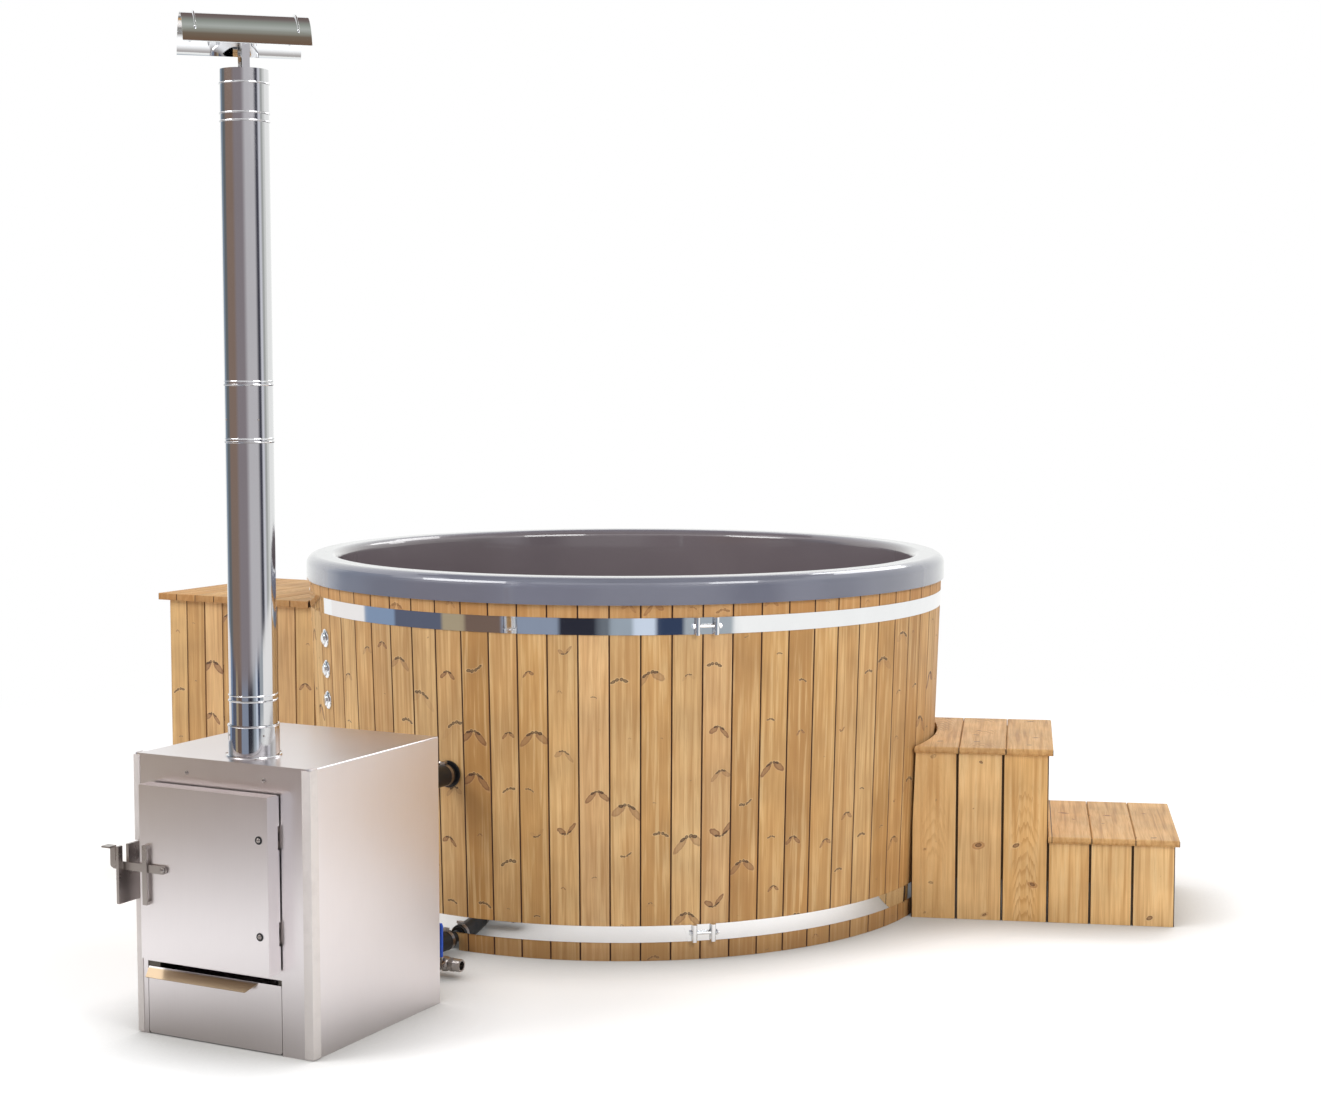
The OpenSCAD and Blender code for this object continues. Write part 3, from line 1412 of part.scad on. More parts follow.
// Pipes between the bath, the pump and the filter
module pipework() {
    color("#d9d9d6") {
        service_pipe(pump_end + fit, pump_y, suction_z, -suction_x);
        wall_flange(pump_y, suction_z, bench_in_r);
        service_pipe(tank_x + head_r + fit, tank_y, return_z, -return_x);
        wall_flange(tank_y, return_z, bath_r(return_z));
        // up from the pump and across to the filter's head
        translate([riser_x, pump_y, suction_z + wet_r + fit])
            cylinder(h = return_z - bend_r - suction_z - wet_r - fit, r = service_r, $fn = round_n);
        translate([riser_x, pump_y, return_z]) rotate([0, 0, cross_turn]) {
            translate([bend_r, 0, -bend_r]) rotate([90, 0, 0]) rotate([0, 0, 90])
                rotate_extrude(angle = 90, $fn = fine) translate([bend_r, 0])
                circle(service_r, $fn = round_n);
            translate([bend_r, 0, 0]) rotate([0, 90, 0])
                cylinder(h = cross_l - bend_r - head_r - fit, r = service_r, $fn = round_n);
        }
    }
}

cross_turn = atan2(tank_y - pump_y, tank_x - riser_x);
cross_l = norm([tank_x - riser_x, tank_y - pump_y]);
suction_x = sqrt(pow(bench_in_r, 2) - pow(pump_y, 2)) - 4;
return_x = sqrt(pow(bath_r(return_z), 2) - pow(tank_y, 2)) - 4;

// --- Steps ------------------------------------------------------------------------------------

// Places a child at the steps' front inner corner, +X leading away from the tub
module at_steps() {
    translate([step_x, step_y, 0]) rotate([0, 0, step_turn]) children();
}

// A run of upright boards along +X
module step_row(from, l, h, y) {
    pitch = l / step_n;
    for (i = [0:step_n - 1]) translate([from + i * pitch + step_gap / 2, y, 0])
        upright_board(pitch - step_gap, step_t, h, 3);
}

// Upright boards on the front, the back and the outer ends of both steps
module step_boards() {
    under = step_t;
    end_n = 4;
    end_pitch = (step_d - 2 * step_t) / end_n;
    color(pale_wood) clear_of_tub() at_steps() {
        step_row(0, tall_l, tall_h - under, 0);
        step_row(tall_l, low_l, low_h - under, 0);
        translate([tall_l, step_d, 0]) rotate([0, 0, 180]) step_row(0, tall_l, tall_h - under, 0);
        translate([tall_l + low_l, step_d, 0]) rotate([0, 0, 180]) step_row(0, low_l, low_h - under, 0);
        for (i = [0:end_n - 1]) {
            translate([tall_l, step_t + i * end_pitch + step_gap / 2, low_h - under]) rotate([0, 0, 90])
                upright_board(end_pitch - step_gap, step_t, tall_h - low_h, 3);
            translate([tall_l + low_l, step_t + i * end_pitch + step_gap / 2, 0]) rotate([0, 0, 90])
                upright_board(end_pitch - step_gap, step_t, low_h - under, 3);
        }
    }
}

// Treads: boards from front to back, with a nose over the front boards
module step_treads() {
    color(pale_wood) clear_of_tub() at_steps() {
        tread_row(-40, tall_l + 40 + nose, tall_h, tall_l + nose, 0);
        tread_row(tall_l, low_l + nose, low_h, tall_l + low_l + nose, 0);
    }
}

// The boards of one tread, from its inner end out to its outer end, round at both noses
module tread_row(from, l, top, outer, inner) {
    pitch = (outer - max(from, inner)) / step_n;
    chamfer = 3;
    r = step_t / 2;
    for (i = [0:step_n - 1]) {
        left = i == 0 ? from : outer - (step_n - i) * pitch + step_gap / 2;
        right = outer - (step_n - i - 1) * pitch - (i == step_n - 1 ? 0 : step_gap / 2);
        translate([0, 0, top]) intersection() {
            translate([0, step_d + nose, 0]) rotate([90, 0, 0]) linear_extrude(step_d + 2 * nose) polygon([
                [left, -step_t], [right, -step_t], [right, -chamfer], [right - chamfer, 0],
                [left + chamfer, 0], [left, -chamfer]]);
            translate([left - 1, 0, 0]) rotate([90, 0, 90]) linear_extrude(right - left + 2) {
                translate([r - nose, -step_t]) square([step_d + 2 * nose - step_t, step_t]);
                for (y = [r - nose, step_d + nose - r]) translate([y, -r]) circle(r, $fn = round_n);
            }
        }
    }
}

// Posts and cross rails inside the steps
module step_frame() {
    in = step_t;
    color(frame_wood) clear_of_tub() at_steps() {
        for (y = [in, step_d - in - post_w]) {
            translate([70, y, 0]) cube([post_w, post_w, tall_h - step_t]);
            translate([tall_l - in - post_w, y, 0]) cube([post_w, post_w, tall_h - step_t]);
            translate([tall_l + low_l - in - post_w, y, 0]) cube([post_w, post_w, low_h - step_t]);
        }
        for (x = [70, tall_l - in - post_w]) translate([x, in + post_w, tall_h - step_t - post_w])
            cube([post_w, step_d - 2 * in - 2 * post_w, post_w]);
        for (x = [tall_l + 4, tall_l + low_l - in - post_w])
            translate([x, in + post_w, low_h - step_t - post_w])
                cube([post_w, step_d - 2 * in - 2 * post_w, post_w]);
    }
}

tub_shell();
staves();
stave_rings();
base_frame();
hoop(hoop_high_z);  // upper_hoop
hoop(hoop_low_z);  // lower_hoop
hoop_lugs();
hoop_bolts();
drain_grate();
drain_pipe();
air_jets();
button_bezels();
push_button(2);  // button_top
push_button(1);  // button_middle
push_button(0);  // button_bottom
supply_fitting();
upper_hose();
lower_hose();
hose_clamps();
drain_tee();
valve_body();
valve_lever();
lever_grip();
furnace_casing();
front_panel();
casing_screws();
firebox();
fire_grate();
furnace_stubs();
flue_collar();
door_shell();
door_liner();
door_seal();
door_bolts();
door_knuckles();
hinge_brackets();
hinge_pins();
latch_guide();
latch_pivot();
latch_bar();
keeper();
ash_drawer();
chimney_lower();
chimney_upper();
cowl_bracket();
cowl_roof();
cowl_rods();
cabinet_frame();
cabinet_boards();
cabinet_lid();
hinge_leaves();
lid_straps();
filter_tank();
pump();
pipework();
step_frame();
step_boards();
step_treads();
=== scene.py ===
"""Looks, studio and small fittings of a round wooden hot tub with an outside wood-fired heater."""

import logging
import math
from dataclasses import dataclass
from enum import Enum
from typing import Any, Callable, Optional, Sequence

import bpy
from mathutils import Matrix, Vector


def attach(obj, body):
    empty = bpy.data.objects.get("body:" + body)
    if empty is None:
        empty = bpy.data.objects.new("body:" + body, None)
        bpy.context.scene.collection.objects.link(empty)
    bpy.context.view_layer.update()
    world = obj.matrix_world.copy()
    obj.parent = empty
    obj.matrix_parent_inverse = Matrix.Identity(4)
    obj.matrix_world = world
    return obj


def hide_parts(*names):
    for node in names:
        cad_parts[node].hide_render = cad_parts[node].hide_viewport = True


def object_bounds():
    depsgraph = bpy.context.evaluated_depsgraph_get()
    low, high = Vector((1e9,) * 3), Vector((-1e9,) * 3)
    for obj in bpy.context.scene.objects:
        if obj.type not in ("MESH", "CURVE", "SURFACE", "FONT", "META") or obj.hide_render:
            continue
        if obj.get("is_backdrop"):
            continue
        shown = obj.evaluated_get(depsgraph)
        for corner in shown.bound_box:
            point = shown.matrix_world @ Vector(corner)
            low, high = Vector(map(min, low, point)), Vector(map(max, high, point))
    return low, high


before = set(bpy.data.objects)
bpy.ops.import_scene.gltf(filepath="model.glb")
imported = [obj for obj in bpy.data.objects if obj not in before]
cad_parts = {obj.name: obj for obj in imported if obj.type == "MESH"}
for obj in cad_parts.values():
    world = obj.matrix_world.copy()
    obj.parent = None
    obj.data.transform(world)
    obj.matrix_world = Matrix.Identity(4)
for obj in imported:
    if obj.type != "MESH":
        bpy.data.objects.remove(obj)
CAD_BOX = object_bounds()

logging.basicConfig(level=logging.INFO, format="%(message)s")
LOG = logging.getLogger("hot_tub")

Point = tuple[float, float, float]
Pair = tuple[float, float]
Piece = bpy.types.Object

MM = 0.001
UP = (0.0, 0.0, 1.0)
WHITE = (1.0, 1.0, 1.0, 1.0)
# an edge that turns further than this is rounded, and isn't shaded smooth
SHARP = math.radians(35.0)
# air between two pieces that lie on each other, in millimetres
AIR = 0.1
STAVES = 72
# a spot with a greater half width in millimetres is soft wood beside the knot, and not the twig itself
SOFT_SPOT = 10.0
# the setting that follows the dot in a node's kind
CHOICES = {"Math": "operation", "VectorMath": "operation", "MapRange": "interpolation_type",
           "Mix": "data_type", "Mapping": "vector_type", "TexWhiteNoise": "noise_dimensions"}


def linear(code: str) -> tuple[float, float, float, float]:
    """Turns an sRGB hex colour to linear light.

    Args:
        code: The colour as #rrggbb.

    Returns:
        Red, green, blue and an alpha of 1.
    """
    parts = [int(code[i:i + 2], 16) / 255 for i in (1, 3, 5)]
    red, green, blue = [c / 12.92 if c <= 0.04045 else ((c + 0.055) / 1.055) ** 2.4 for c in parts]
    return red, green, blue, 1.0


class Graph:
    """The node graph of one material, or of the world."""

    def __init__(self, owner: Any) -> None:
        """Starts the graph afresh.

        Args:
            owner: The material or world.
        """
        self.owner = owner
        owner.use_nodes = True
        owner.node_tree.nodes.clear()

    def add(self, kind: str, *inputs: Any, stops: Sequence[tuple[float, str]] = (),
            **settings: Any) -> bpy.types.Node:
        """Adds one shader node with its settings and links.

        Args:
            kind: Blender's name for the node without ShaderNode and, after a dot, its main setting.
            *inputs: A value, a node or an output for each input in order. None leaves an input alone, and
                a dictionary holds inputs by name or number.
            stops: Places and hex colours, where the node is a colour ramp.
            **settings: The node's other settings.

        Returns:
            The new node.
        """
        kind, _, choice = kind.partition(".")
        node = self.owner.node_tree.nodes.new("ShaderNode" + kind)
        if choice:
            settings[CHOICES[kind]] = choice
        for name, value in settings.items():
            setattr(node, name, value)
        chosen: dict[Any, Any] = {}
        for place, value in enumerate(inputs):
            chosen.update(value if isinstance(value, dict) else {place: value})
        for key, value in chosen.items():
            if isinstance(value, bpy.types.Node):
                value = value.outputs[0]
            if isinstance(value, bpy.types.NodeSocket):
                self.owner.node_tree.links.new(value, node.inputs[key])
            elif value is not None:
                node.inputs[key].default_value = value
        for number, (place, code) in enumerate(stops):
            elements = node.color_ramp.elements
            element = elements[number] if number < 2 else elements.new(place)
            element.position, element.color = place, linear(code)
        return node

    def close(self, shader: dict[str, Any], height: Any = None, depth: float = 0.0) -> Any:
        """Ends a material with the surface shader and its relief.

        Args:
            shader: The surface shader's inputs.
            height: The output that holds the relief, from 0 to 1.
            depth: The relief's height in millimetres.

        Returns:
            The finished material.
        """
        if height is not None:
            shader["Normal"] = self.add("Bump", {"Height": height, "Distance": depth * MM, "Strength": 1.0})
        self.add("OutputMaterial", self.add("BsdfPrincipled", shader))
        return self.owner


def ready(piece: Optional[Piece] = None) -> None:
    """Goes back to object mode with one piece selected, or nothing.

    Args:
        piece: The piece to select.
    """
    if bpy.context.mode != "OBJECT":
        bpy.ops.object.mode_set(mode="OBJECT")
    bpy.ops.object.select_all(action="DESELECT")
    if piece is not None:
        piece.select_set(True)
        bpy.context.view_layer.objects.active = piece


def pick(piece: Piece, test: Callable[[Vector, Vector], bool]) -> None:
    """Opens a piece in edit mode with some of its faces selected.

    Args:
        piece: The piece to open.
        test: Says of a face's middle and normal whether the face is wanted.
    """
    ready(piece)
    bpy.ops.object.mode_set(mode="EDIT")
    bpy.ops.mesh.select_mode(type="FACE")
    bpy.ops.mesh.select_all(action="DESELECT")
    bpy.ops.object.mode_set(mode="OBJECT")
    for face in piece.data.polygons:
        face.select = test(face.center, face.normal)
    bpy.ops.object.mode_set(mode="EDIT")


def open_up(piece: Piece) -> None:
    """Opens a piece in edit mode with all of it selected.

    Args:
        piece: The piece to open.
    """
    ready(piece)
    bpy.ops.object.mode_set(mode="EDIT")
    bpy.ops.mesh.select_mode(type="VERT")
    bpy.ops.mesh.select_all(action="SELECT")


def heal(piece: Piece) -> None:
    """Merges doubles, closes holes and turns the faces outwards.

    Args:
        piece: The piece to mend.
    """
    open_up(piece)
    bpy.ops.mesh.remove_doubles(threshold=0.00001)
    bpy.ops.mesh.fill_holes(sides=0)
    bpy.ops.mesh.normals_make_consistent(inside=False)
    ready(piece)


def turned(name: str, outline: Sequence[Pair], sides: int = 48) -> Piece:
    """Turns a piece round the Z axis, as on a lathe.

    Args:
        name: The piece's name.
        outline: Radius and height of each point in millimetres, in order. A closed outline ends where it
            starts, and an open one gets flat ends.
        sides: The number of sides.

    Returns:
        The piece, standing over the origin.
    """
    ready()
    radius, height = outline[0]
    bpy.ops.mesh.primitive_circle_add(vertices=sides, radius=radius * MM, fill_type="NOTHING")
    piece = bpy.context.active_object
    piece.name = name
    open_up(piece)
    bpy.ops.transform.translate(value=(0.0, 0.0, height * MM))
    for wide, high in outline[1:]:
        bpy.ops.mesh.extrude_region_move(TRANSFORM_OT_translate={"value": (0.0, 0.0, (high - height) * MM)})
        if wide:
            bpy.ops.transform.resize(value=(wide / radius, wide / radius, 1.0),
                                     center_override=(0.0, 0.0, high * MM))
        else:
            bpy.ops.mesh.merge(type="CENTER")
        radius, height = wide, high
    heal(piece)
    return piece


def plate(name: str, low: Sequence[float], high: Sequence[float], edge: float,
          step: float = 0.0) -> Piece:
    """Makes a plate or block with rounded edges and, where asked, a raised field on its upper face.

    Args:
        name: The piece's name.
        low: Its lowest corner in millimetres.
        high: Its highest corner in millimetres.
        edge: The edges' rounding in millimetres.
        step: The height of the raised field in millimetres.

    Returns:
        The piece.
    """
    ready()
    middle = [(a + b) / 2 * MM for a, b in zip(low, high)]
    size = [(b - a) * MM for a, b in zip(low, high)]
    bpy.ops.mesh.primitive_cube_add(size=1.0, location=middle, scale=size)
    piece = bpy.context.active_object
    piece.name = name
    bpy.ops.object.transform_apply(location=True, rotation=True, scale=True)
    if step:
        pick(piece, lambda centre, normal: normal.z > 0.9)
        bpy.ops.mesh.inset(thickness=3.0 * edge * MM, depth=0.0)
        bpy.ops.mesh.extrude_region_move(TRANSFORM_OT_translate={"value": (0.0, 0.0, step * MM)})
    soften(piece, edge)
    return piece


def soften(piece: Piece, edge: float) -> None:
    """Rounds a piece's sharp edges.

    Args:
        piece: The piece to round.
        edge: The rounding in millimetres.
    """
    ready(piece)
    bevel = piece.modifiers.new("edges", "BEVEL")
    bevel.width, bevel.segments = edge * MM, 3
    bevel.limit_method, bevel.angle_limit = "ANGLE", SHARP
    bpy.ops.object.modifier_apply(modifier=bevel.name)


def seat(place: Sequence[float], axis: Sequence[float], spin: float = 0.0) -> Matrix:
    """Finds where a piece that stands over the origin goes.

    Args:
        place: The new place of its origin in millimetres.
        axis: The direction in which its Z axis points.
        spin: Its turn about that axis in degrees.

    Returns:
        The matrix that takes it there.
    """
    turn = Vector(axis).to_track_quat("Z", "Y").to_matrix().to_4x4()
    shift = Matrix.Translation([x * MM for x in place])
    return shift @ turn @ Matrix.Rotation(math.radians(spin), 4, "Z")


def repeat(piece: Piece, seats: Sequence[Matrix]) -> Piece:
    """Copies a piece to each of its seats, each copy with its own mesh, and joins them.

    Args:
        piece: The piece that is modelled once.
        seats: Where each copy goes.

    Returns:
        The joined copies, which keep the piece's name.
    """
    name = piece.name
    ready(piece)
    copies = []
    for place in seats:
        copy = piece.copy()
        copy.data = piece.data.copy()
        bpy.context.scene.collection.objects.link(copy)
        copy.matrix_world = place
        copies.append(copy)
    bpy.data.objects.remove(piece)
    ready(copies[0])
    for copy in copies:
        copy.select_set(True)
    bpy.ops.object.transform_apply(location=True, rotation=True, scale=True)
    if len(copies) > 1:
        bpy.ops.object.join()
    copies[0].name = name
    return copies[0]


class Layout(Enum):
    """How a timber's boards lie."""

    ROUND = "upright staves round the tub's axis"
    FLAT = "boards in straight rows"


class Knot(Enum):
    """What the knots of a timber look like where the saw cut them.

    Each spot is its place and its half sizes in millimetres, its turn in degrees and its strength.
    """

    PAIRED = (((4.8, 1.0), (4.2, 3.8), 0.0, 1.0), ((14.0, -3.0), (6.2, 3.4), -24.0, 1.0),
              ((20.0, -15.0), (21.0, 8.2), -43.0, 1.0))
    OVAL = (((0.0, 0.0), (15.5, 9.5), 0.0, 0.75), ((0.0, 1.0), (8.0, 5.0), 0.0, 1.0))


@dataclass(frozen=True)
class Timber:
    """Planed and oiled softwood, cut into boards with their own tint, grain and knots."""

    name: str
    boards: tuple[str, ...]
    grain: str
    knot: Knot
    knot_colour: str
    wing: str
    seam: str
    layout: Layout = Layout.FLAT
    origin: Point = (0.0, 0.0, 0.0)
    turn: Point = (0.0, 0.0, 0.0)
    pitch: Pair = (0.073, 0.073)
    second: Point = (0.0, 0.0, 0.0)
    butt: float = 0.0
    seam_w: float = 0.0
    knot_every: float = 0.19
    knot_share: float = 0.55
    contrast: float = 0.5
    pale: str = "#dab479"
    arches: float = 0.0
    # an arch's height in metres, and how far to the side it falls by that much
    arch: Pair = (0.045, 0.028)
    ends: bool = False
    # heights in metres: where painted shade under the rim sets in (fresh), and where the wood darkens
    # towards the feet
    fresh: Pair = (0.945, 0.96)
    dark_feet: Pair = (0.1, 0.02)

    def places(self, graph: Graph) -> tuple[Any, Any, Any, Any, Any]:
        """Works out where a point lies on its board.

        Args:
            graph: The material's nodes.

        Returns:
            The distance across from the board's middle, the depth, the length along, the board's number, and
            how far the face looks along the board.
        """
        add = graph.add
        point = add("TexCoord").outputs["Object"]
        if self.layout is Layout.ROUND:
            x, y, along = add("SeparateXYZ", point).outputs
            bearing = add("Math.ARCTAN2", y, x)
            # the first joint lies a tenth of a stave past the +X axis
            count = add("Math.MULTIPLY_ADD", bearing, STAVES / math.tau, STAVES - 0.1)
            depth = add("VectorMath.LENGTH", add("CombineXYZ", x, y)).outputs["Value"]
            across = self.centred(graph, count, self.pitch[0])
            return across, depth, along, add("Math.FLOOR", count), 0.0
        local = add("Mapping.TEXTURE", point, self.origin, self.turn)
        x, y, along = add("SeparateXYZ", local).outputs
        normal = add("Mapping.TEXTURE", add("TexCoord").outputs["Normal"], None, self.turn)
        facing = add("SeparateXYZ", normal).outputs
        side = add("Math.GREATER_THAN", add("Math.ABSOLUTE", facing[0]), 0.7)
        counts = [add("Math.DIVIDE", place, pitch) for place, pitch in zip((x, y), self.pitch)]
        if self.second[2]:
            # past a place the boards change width, and are counted afresh from where the first one starts
            past, start, width = self.second
            fresh = add("Math.MULTIPLY_ADD", add("Math.SUBTRACT", x, start), 1 / width, 10.0)
            beyond = add("Math.GREATER_THAN", x, past)
            counts[0] = add("Mix.FLOAT", {0: beyond, 2: counts[0], 3: fresh})
        column, row = [add("Math.FLOOR", count) for count in counts]
        middles = [self.centred(graph, count, pitch) for count, pitch in zip(counts, self.pitch)]
        across = add("Mix.FLOAT", {0: side, 2: middles[0], 3: middles[1]})
        depth = add("Mix.FLOAT", {0: side, 2: y, 3: x})
        return across, depth, along, add("Math.MULTIPLY_ADD", row, 13.0, column), facing[2]

    @staticmethod
    def centred(graph: Graph, count: Any, pitch: float) -> bpy.types.Node:
        """Turns a count of boards of one width into the distance from the middle of the board."""
        return graph.add("Math.MULTIPLY_ADD", graph.add("Math.FRACT", count), pitch, -pitch / 2)

    @staticmethod
    def reroll(graph: Graph, throw: Any, factor: float) -> bpy.types.Node:
        """Draws another random number from one that is drawn already."""
        return graph.add("Math.FRACT", graph.add("Math.MULTIPLY", throw, factor))

    def knots(self, graph: Graph, across: Any, along: Any, number: Any, tint: Any) -> list[Any]:
        """Scatters knots over the boards, in cells along each board.

        Args:
            graph: The material's nodes.
            across: The distance across from the board's middle.
            along: The distance along the board.
            number: The board's number.
            tint: A random number for the board.

        Returns:
            The masks of the hard knots, of the soft wood that grew into them and of the pale wood round
            them.
        """
        add = graph.add
        every, room = self.knot_every, 0.2 * self.pitch[0]
        count = add("Math.MULTIPLY_ADD", along, 1 / every, add("Math.MULTIPLY", tint, 9.0))
        cell = add("CombineXYZ", number, add("Math.FLOOR", count))
        dice = add("TexWhiteNoise.2D", cell).outputs["Color"]
        first, second, third = add("SeparateXYZ", dice).outputs
        size = add("MapRange", third, 1 - self.knot_share, 0.93, 0.001, 1.25)
        aside = add("MapRange", first, None, None, -room, room)
        lift = add("MapRange", second, None, None, -0.25 * every, 0.25 * every)
        local_x = add("Math.SUBTRACT", across, aside)
        local_y = add("Math.SUBTRACT", self.centred(graph, count, every), lift)
        # knots have ragged outlines, off by up to 2 mm
        ragged = add("TexNoise", {"Vector": add("CombineXYZ", across, along, number),
                                  "Scale": 1 / (7 * MM), "Detail": 2.0})
        jitter = add("MapRange", ragged, None, None, -2.0 * MM, 2.0 * MM)
        # the saw meets a pair of twigs from either side, so a few pairs smile and the others frown
        toss = self.reroll(graph, first, 7.3)
        sign = add("Math.MULTIPLY_ADD", add("Math.GREATER_THAN", toss, 0.05), 2.0, -1.0)
        tilt = add("MapRange", toss, None, None, -0.35, 0.35)
        skew = add("Math.MULTIPLY_ADD", local_x, tilt, local_y)
        folded = add("Math.ADD", add("Math.ABSOLUTE", local_x), jitter)
        spot_at = add("CombineXYZ", folded, add("Math.MULTIPLY_ADD", skew, sign, jitter))
        scaled = add("VectorMath.DIVIDE", spot_at, size)
        # only some knots have soft wood beside them
        filled = add("MapRange", self.reroll(graph, second, 5.1), 0.38, 0.75, 0.0, 1.0)
        masks: list[Any] = [0.0, 0.0, 0.0]
        for (x, y), (half_x, half_y), turn, strength in self.knot.value:
            inside = add("Mapping.TEXTURE", scaled, (x * MM, y * MM, 0.0),
                         (0.0, 0.0, math.radians(turn)), (half_x * MM, half_y * MM, 1.0))
            reach = add("VectorMath.LENGTH", inside).outputs["Value"]
            spot = add("MapRange.SMOOTHSTEP", reach, 1.12, 0.86, 0.0, strength)
            # the bark round a twig leaves a darker rim
            spot = add("Math.MULTIPLY", spot, add("MapRange", reach, 0.5, 0.95, 0.62, 1.0))
            soft = half_x > SOFT_SPOT
            width, most = (1.35, 0.5) if soft else (1.9, 1.0)
            rim = add("MapRange.SMOOTHSTEP", reach, width, 1.0, 0.0, most)
            if soft:
                spot, rim = [add("Math.MULTIPLY", part, filled) for part in (spot, rim)]
            for kind, part in ((int(soft), spot), (2, rim)):
                masks[kind] = add("Math.MAXIMUM", part, masks[kind])
        return masks

    def cathedral(self, graph: Graph, across: Any, along: Any, tint: Any, broad: Any) -> bpy.types.Node:
        """Draws the pointed arches that flat-sawn boards show in places.

        Args:
            graph: The material's nodes.
            across: The distance across from the board's middle.
            along: The distance along the board.
            tint: A random number for the board.
            broad: The broad streaks, which make the arches wander.

        Returns:
            The arches' strength.
        """
        add = graph.add
        high, aside = self.arch
        bowed = add("Math.MULTIPLY_ADD", add("Math.MULTIPLY", across, across), 1 / aside ** 2,
                    add("Math.MULTIPLY", broad, 2.4))
        ring = add("Math.FRACT", add("Math.MULTIPLY_ADD", along, 1 / high, bowed))
        line = add("MapRange.SMOOTHERSTEP", ring, 0.3, 1.0, 0.0, self.arches)
        middle = add("MapRange", add("Math.ABSOLUTE", across), 0.05, 0.025)
        chosen = add("Math.GREATER_THAN", tint, 0.3)
        # the saw meets the rings flat for a hand's length here and there
        stretch = add("CombineXYZ", add("Math.MULTIPLY", tint, 40.0), along)
        patch = add("TexNoise", {"Vector": stretch, "Scale": 1 / 0.17, "Detail": 1.0})
        for part in (chosen, add("MapRange", patch, 0.45, 0.58), line):
            middle = add("Math.MULTIPLY", middle, part)
        return middle

    def material(self) -> bpy.types.Material:
        """Builds the timber's material.

        Returns:
            The finished material.
        """
        graph = Graph(bpy.data.materials.new(self.name))
        add = graph.add
        across, depth, along, number, ahead = self.places(graph)
        tint = add("TexWhiteNoise.1D", None, number)
        wide = add("Math.MULTIPLY_ADD", tint, 3.0, across)
        line = add("CombineXYZ", wide, depth, along)
        # annual rings cut lengthwise: streaks about 12 mm and 2.5 mm wide and some tens of cm long
        stretched = [add("VectorMath.MULTIPLY", line, size)
                     for size in ((1 / 0.012, 1 / 0.03, 1 / 0.34), (1 / 0.0025, 1 / 0.006, 1 / 0.11))]
        broad = add("TexNoise", {"Vector": stretched[0], "Scale": 1.0, "Detail": 2.0, "Roughness": 0.5,
                                 "Distortion": 0.5})
        fine = add("TexNoise", {"Vector": stretched[1], "Scale": 1.0, "Detail": 3.0, "Roughness": 0.65})
        last = len(self.boards) - 1
        board = add("ValToRGB", tint, stops=[(i / last, code) for i, code in enumerate(self.boards)])
        dark = add("Math.MAXIMUM", add("MapRange", broad, 0.46, 0.68, 0.0, self.contrast),
                   add("MapRange", fine, 0.5, 0.72, 0.0, self.contrast * 0.85))
        if self.arches:
            dark = add("Math.MAXIMUM", self.cathedral(graph, across, along, tint, broad), dark)
        bleached = add("MapRange", broad, 0.47, 0.33, 0.0, self.contrast * 0.9)
        colour: Any = board
        for share, code in ((bleached, self.pale), (dark, self.grain)):
            colour = add("Mix.RGBA", {0: share, 6: colour, 7: linear(code)}).outputs[2]
        cloud = add("TexNoise", {"Vector": line, "Scale": 1 / 0.16, "Detail": 2.0})
        lighter = add("MapRange", cloud, 0.35, 0.7, 0.9, 1.1)
        colour = add("VectorMath.MULTIPLY", colour, lighter)
        mask, wing, pale = self.knots(graph, across, along, number, tint)
        halo = add("Math.MULTIPLY", pale, 0.33)
        coats = [(halo, "#e6c391"), (wing, self.wing), (mask, self.knot_colour)]
        if self.ends:
            # painted shade under the rim, and darker wood towards the feet
            coats += [(add("MapRange", along, *self.fresh, 0.0, 0.45), "#b97f42"),
                      (add("MapRange", along, *self.dark_feet, 0.0, 0.55), "#8a6238")]
        if self.butt:
            # end grain drinks more oil than the faces do
            ahead = add("Math.ABSOLUTE", ahead)
            coats.append((add("MapRange", ahead, 0.6, 0.8, 0.0, self.butt), "#9a662c"))
        if self.seam_w:
            edge, half = add("Math.ABSOLUTE", across), self.pitch[0] / 2
            seam = add("MapRange", edge, half - self.seam_w, half - self.seam_w * 0.5)
            coats.append((seam, self.seam))
        for share, code in coats:
            colour = add("Mix.RGBA", {0: share, 6: colour, 7: linear(code)}).outputs[2]
        rough = add("MapRange", fine, 0.3, 0.7, 0.52, 0.68)
        relief = add("Math.SUBTRACT", fine, mask)
        return graph.close({"Base Color": colour, "Roughness": rough, "IOR": 1.5}, relief, 0.35)


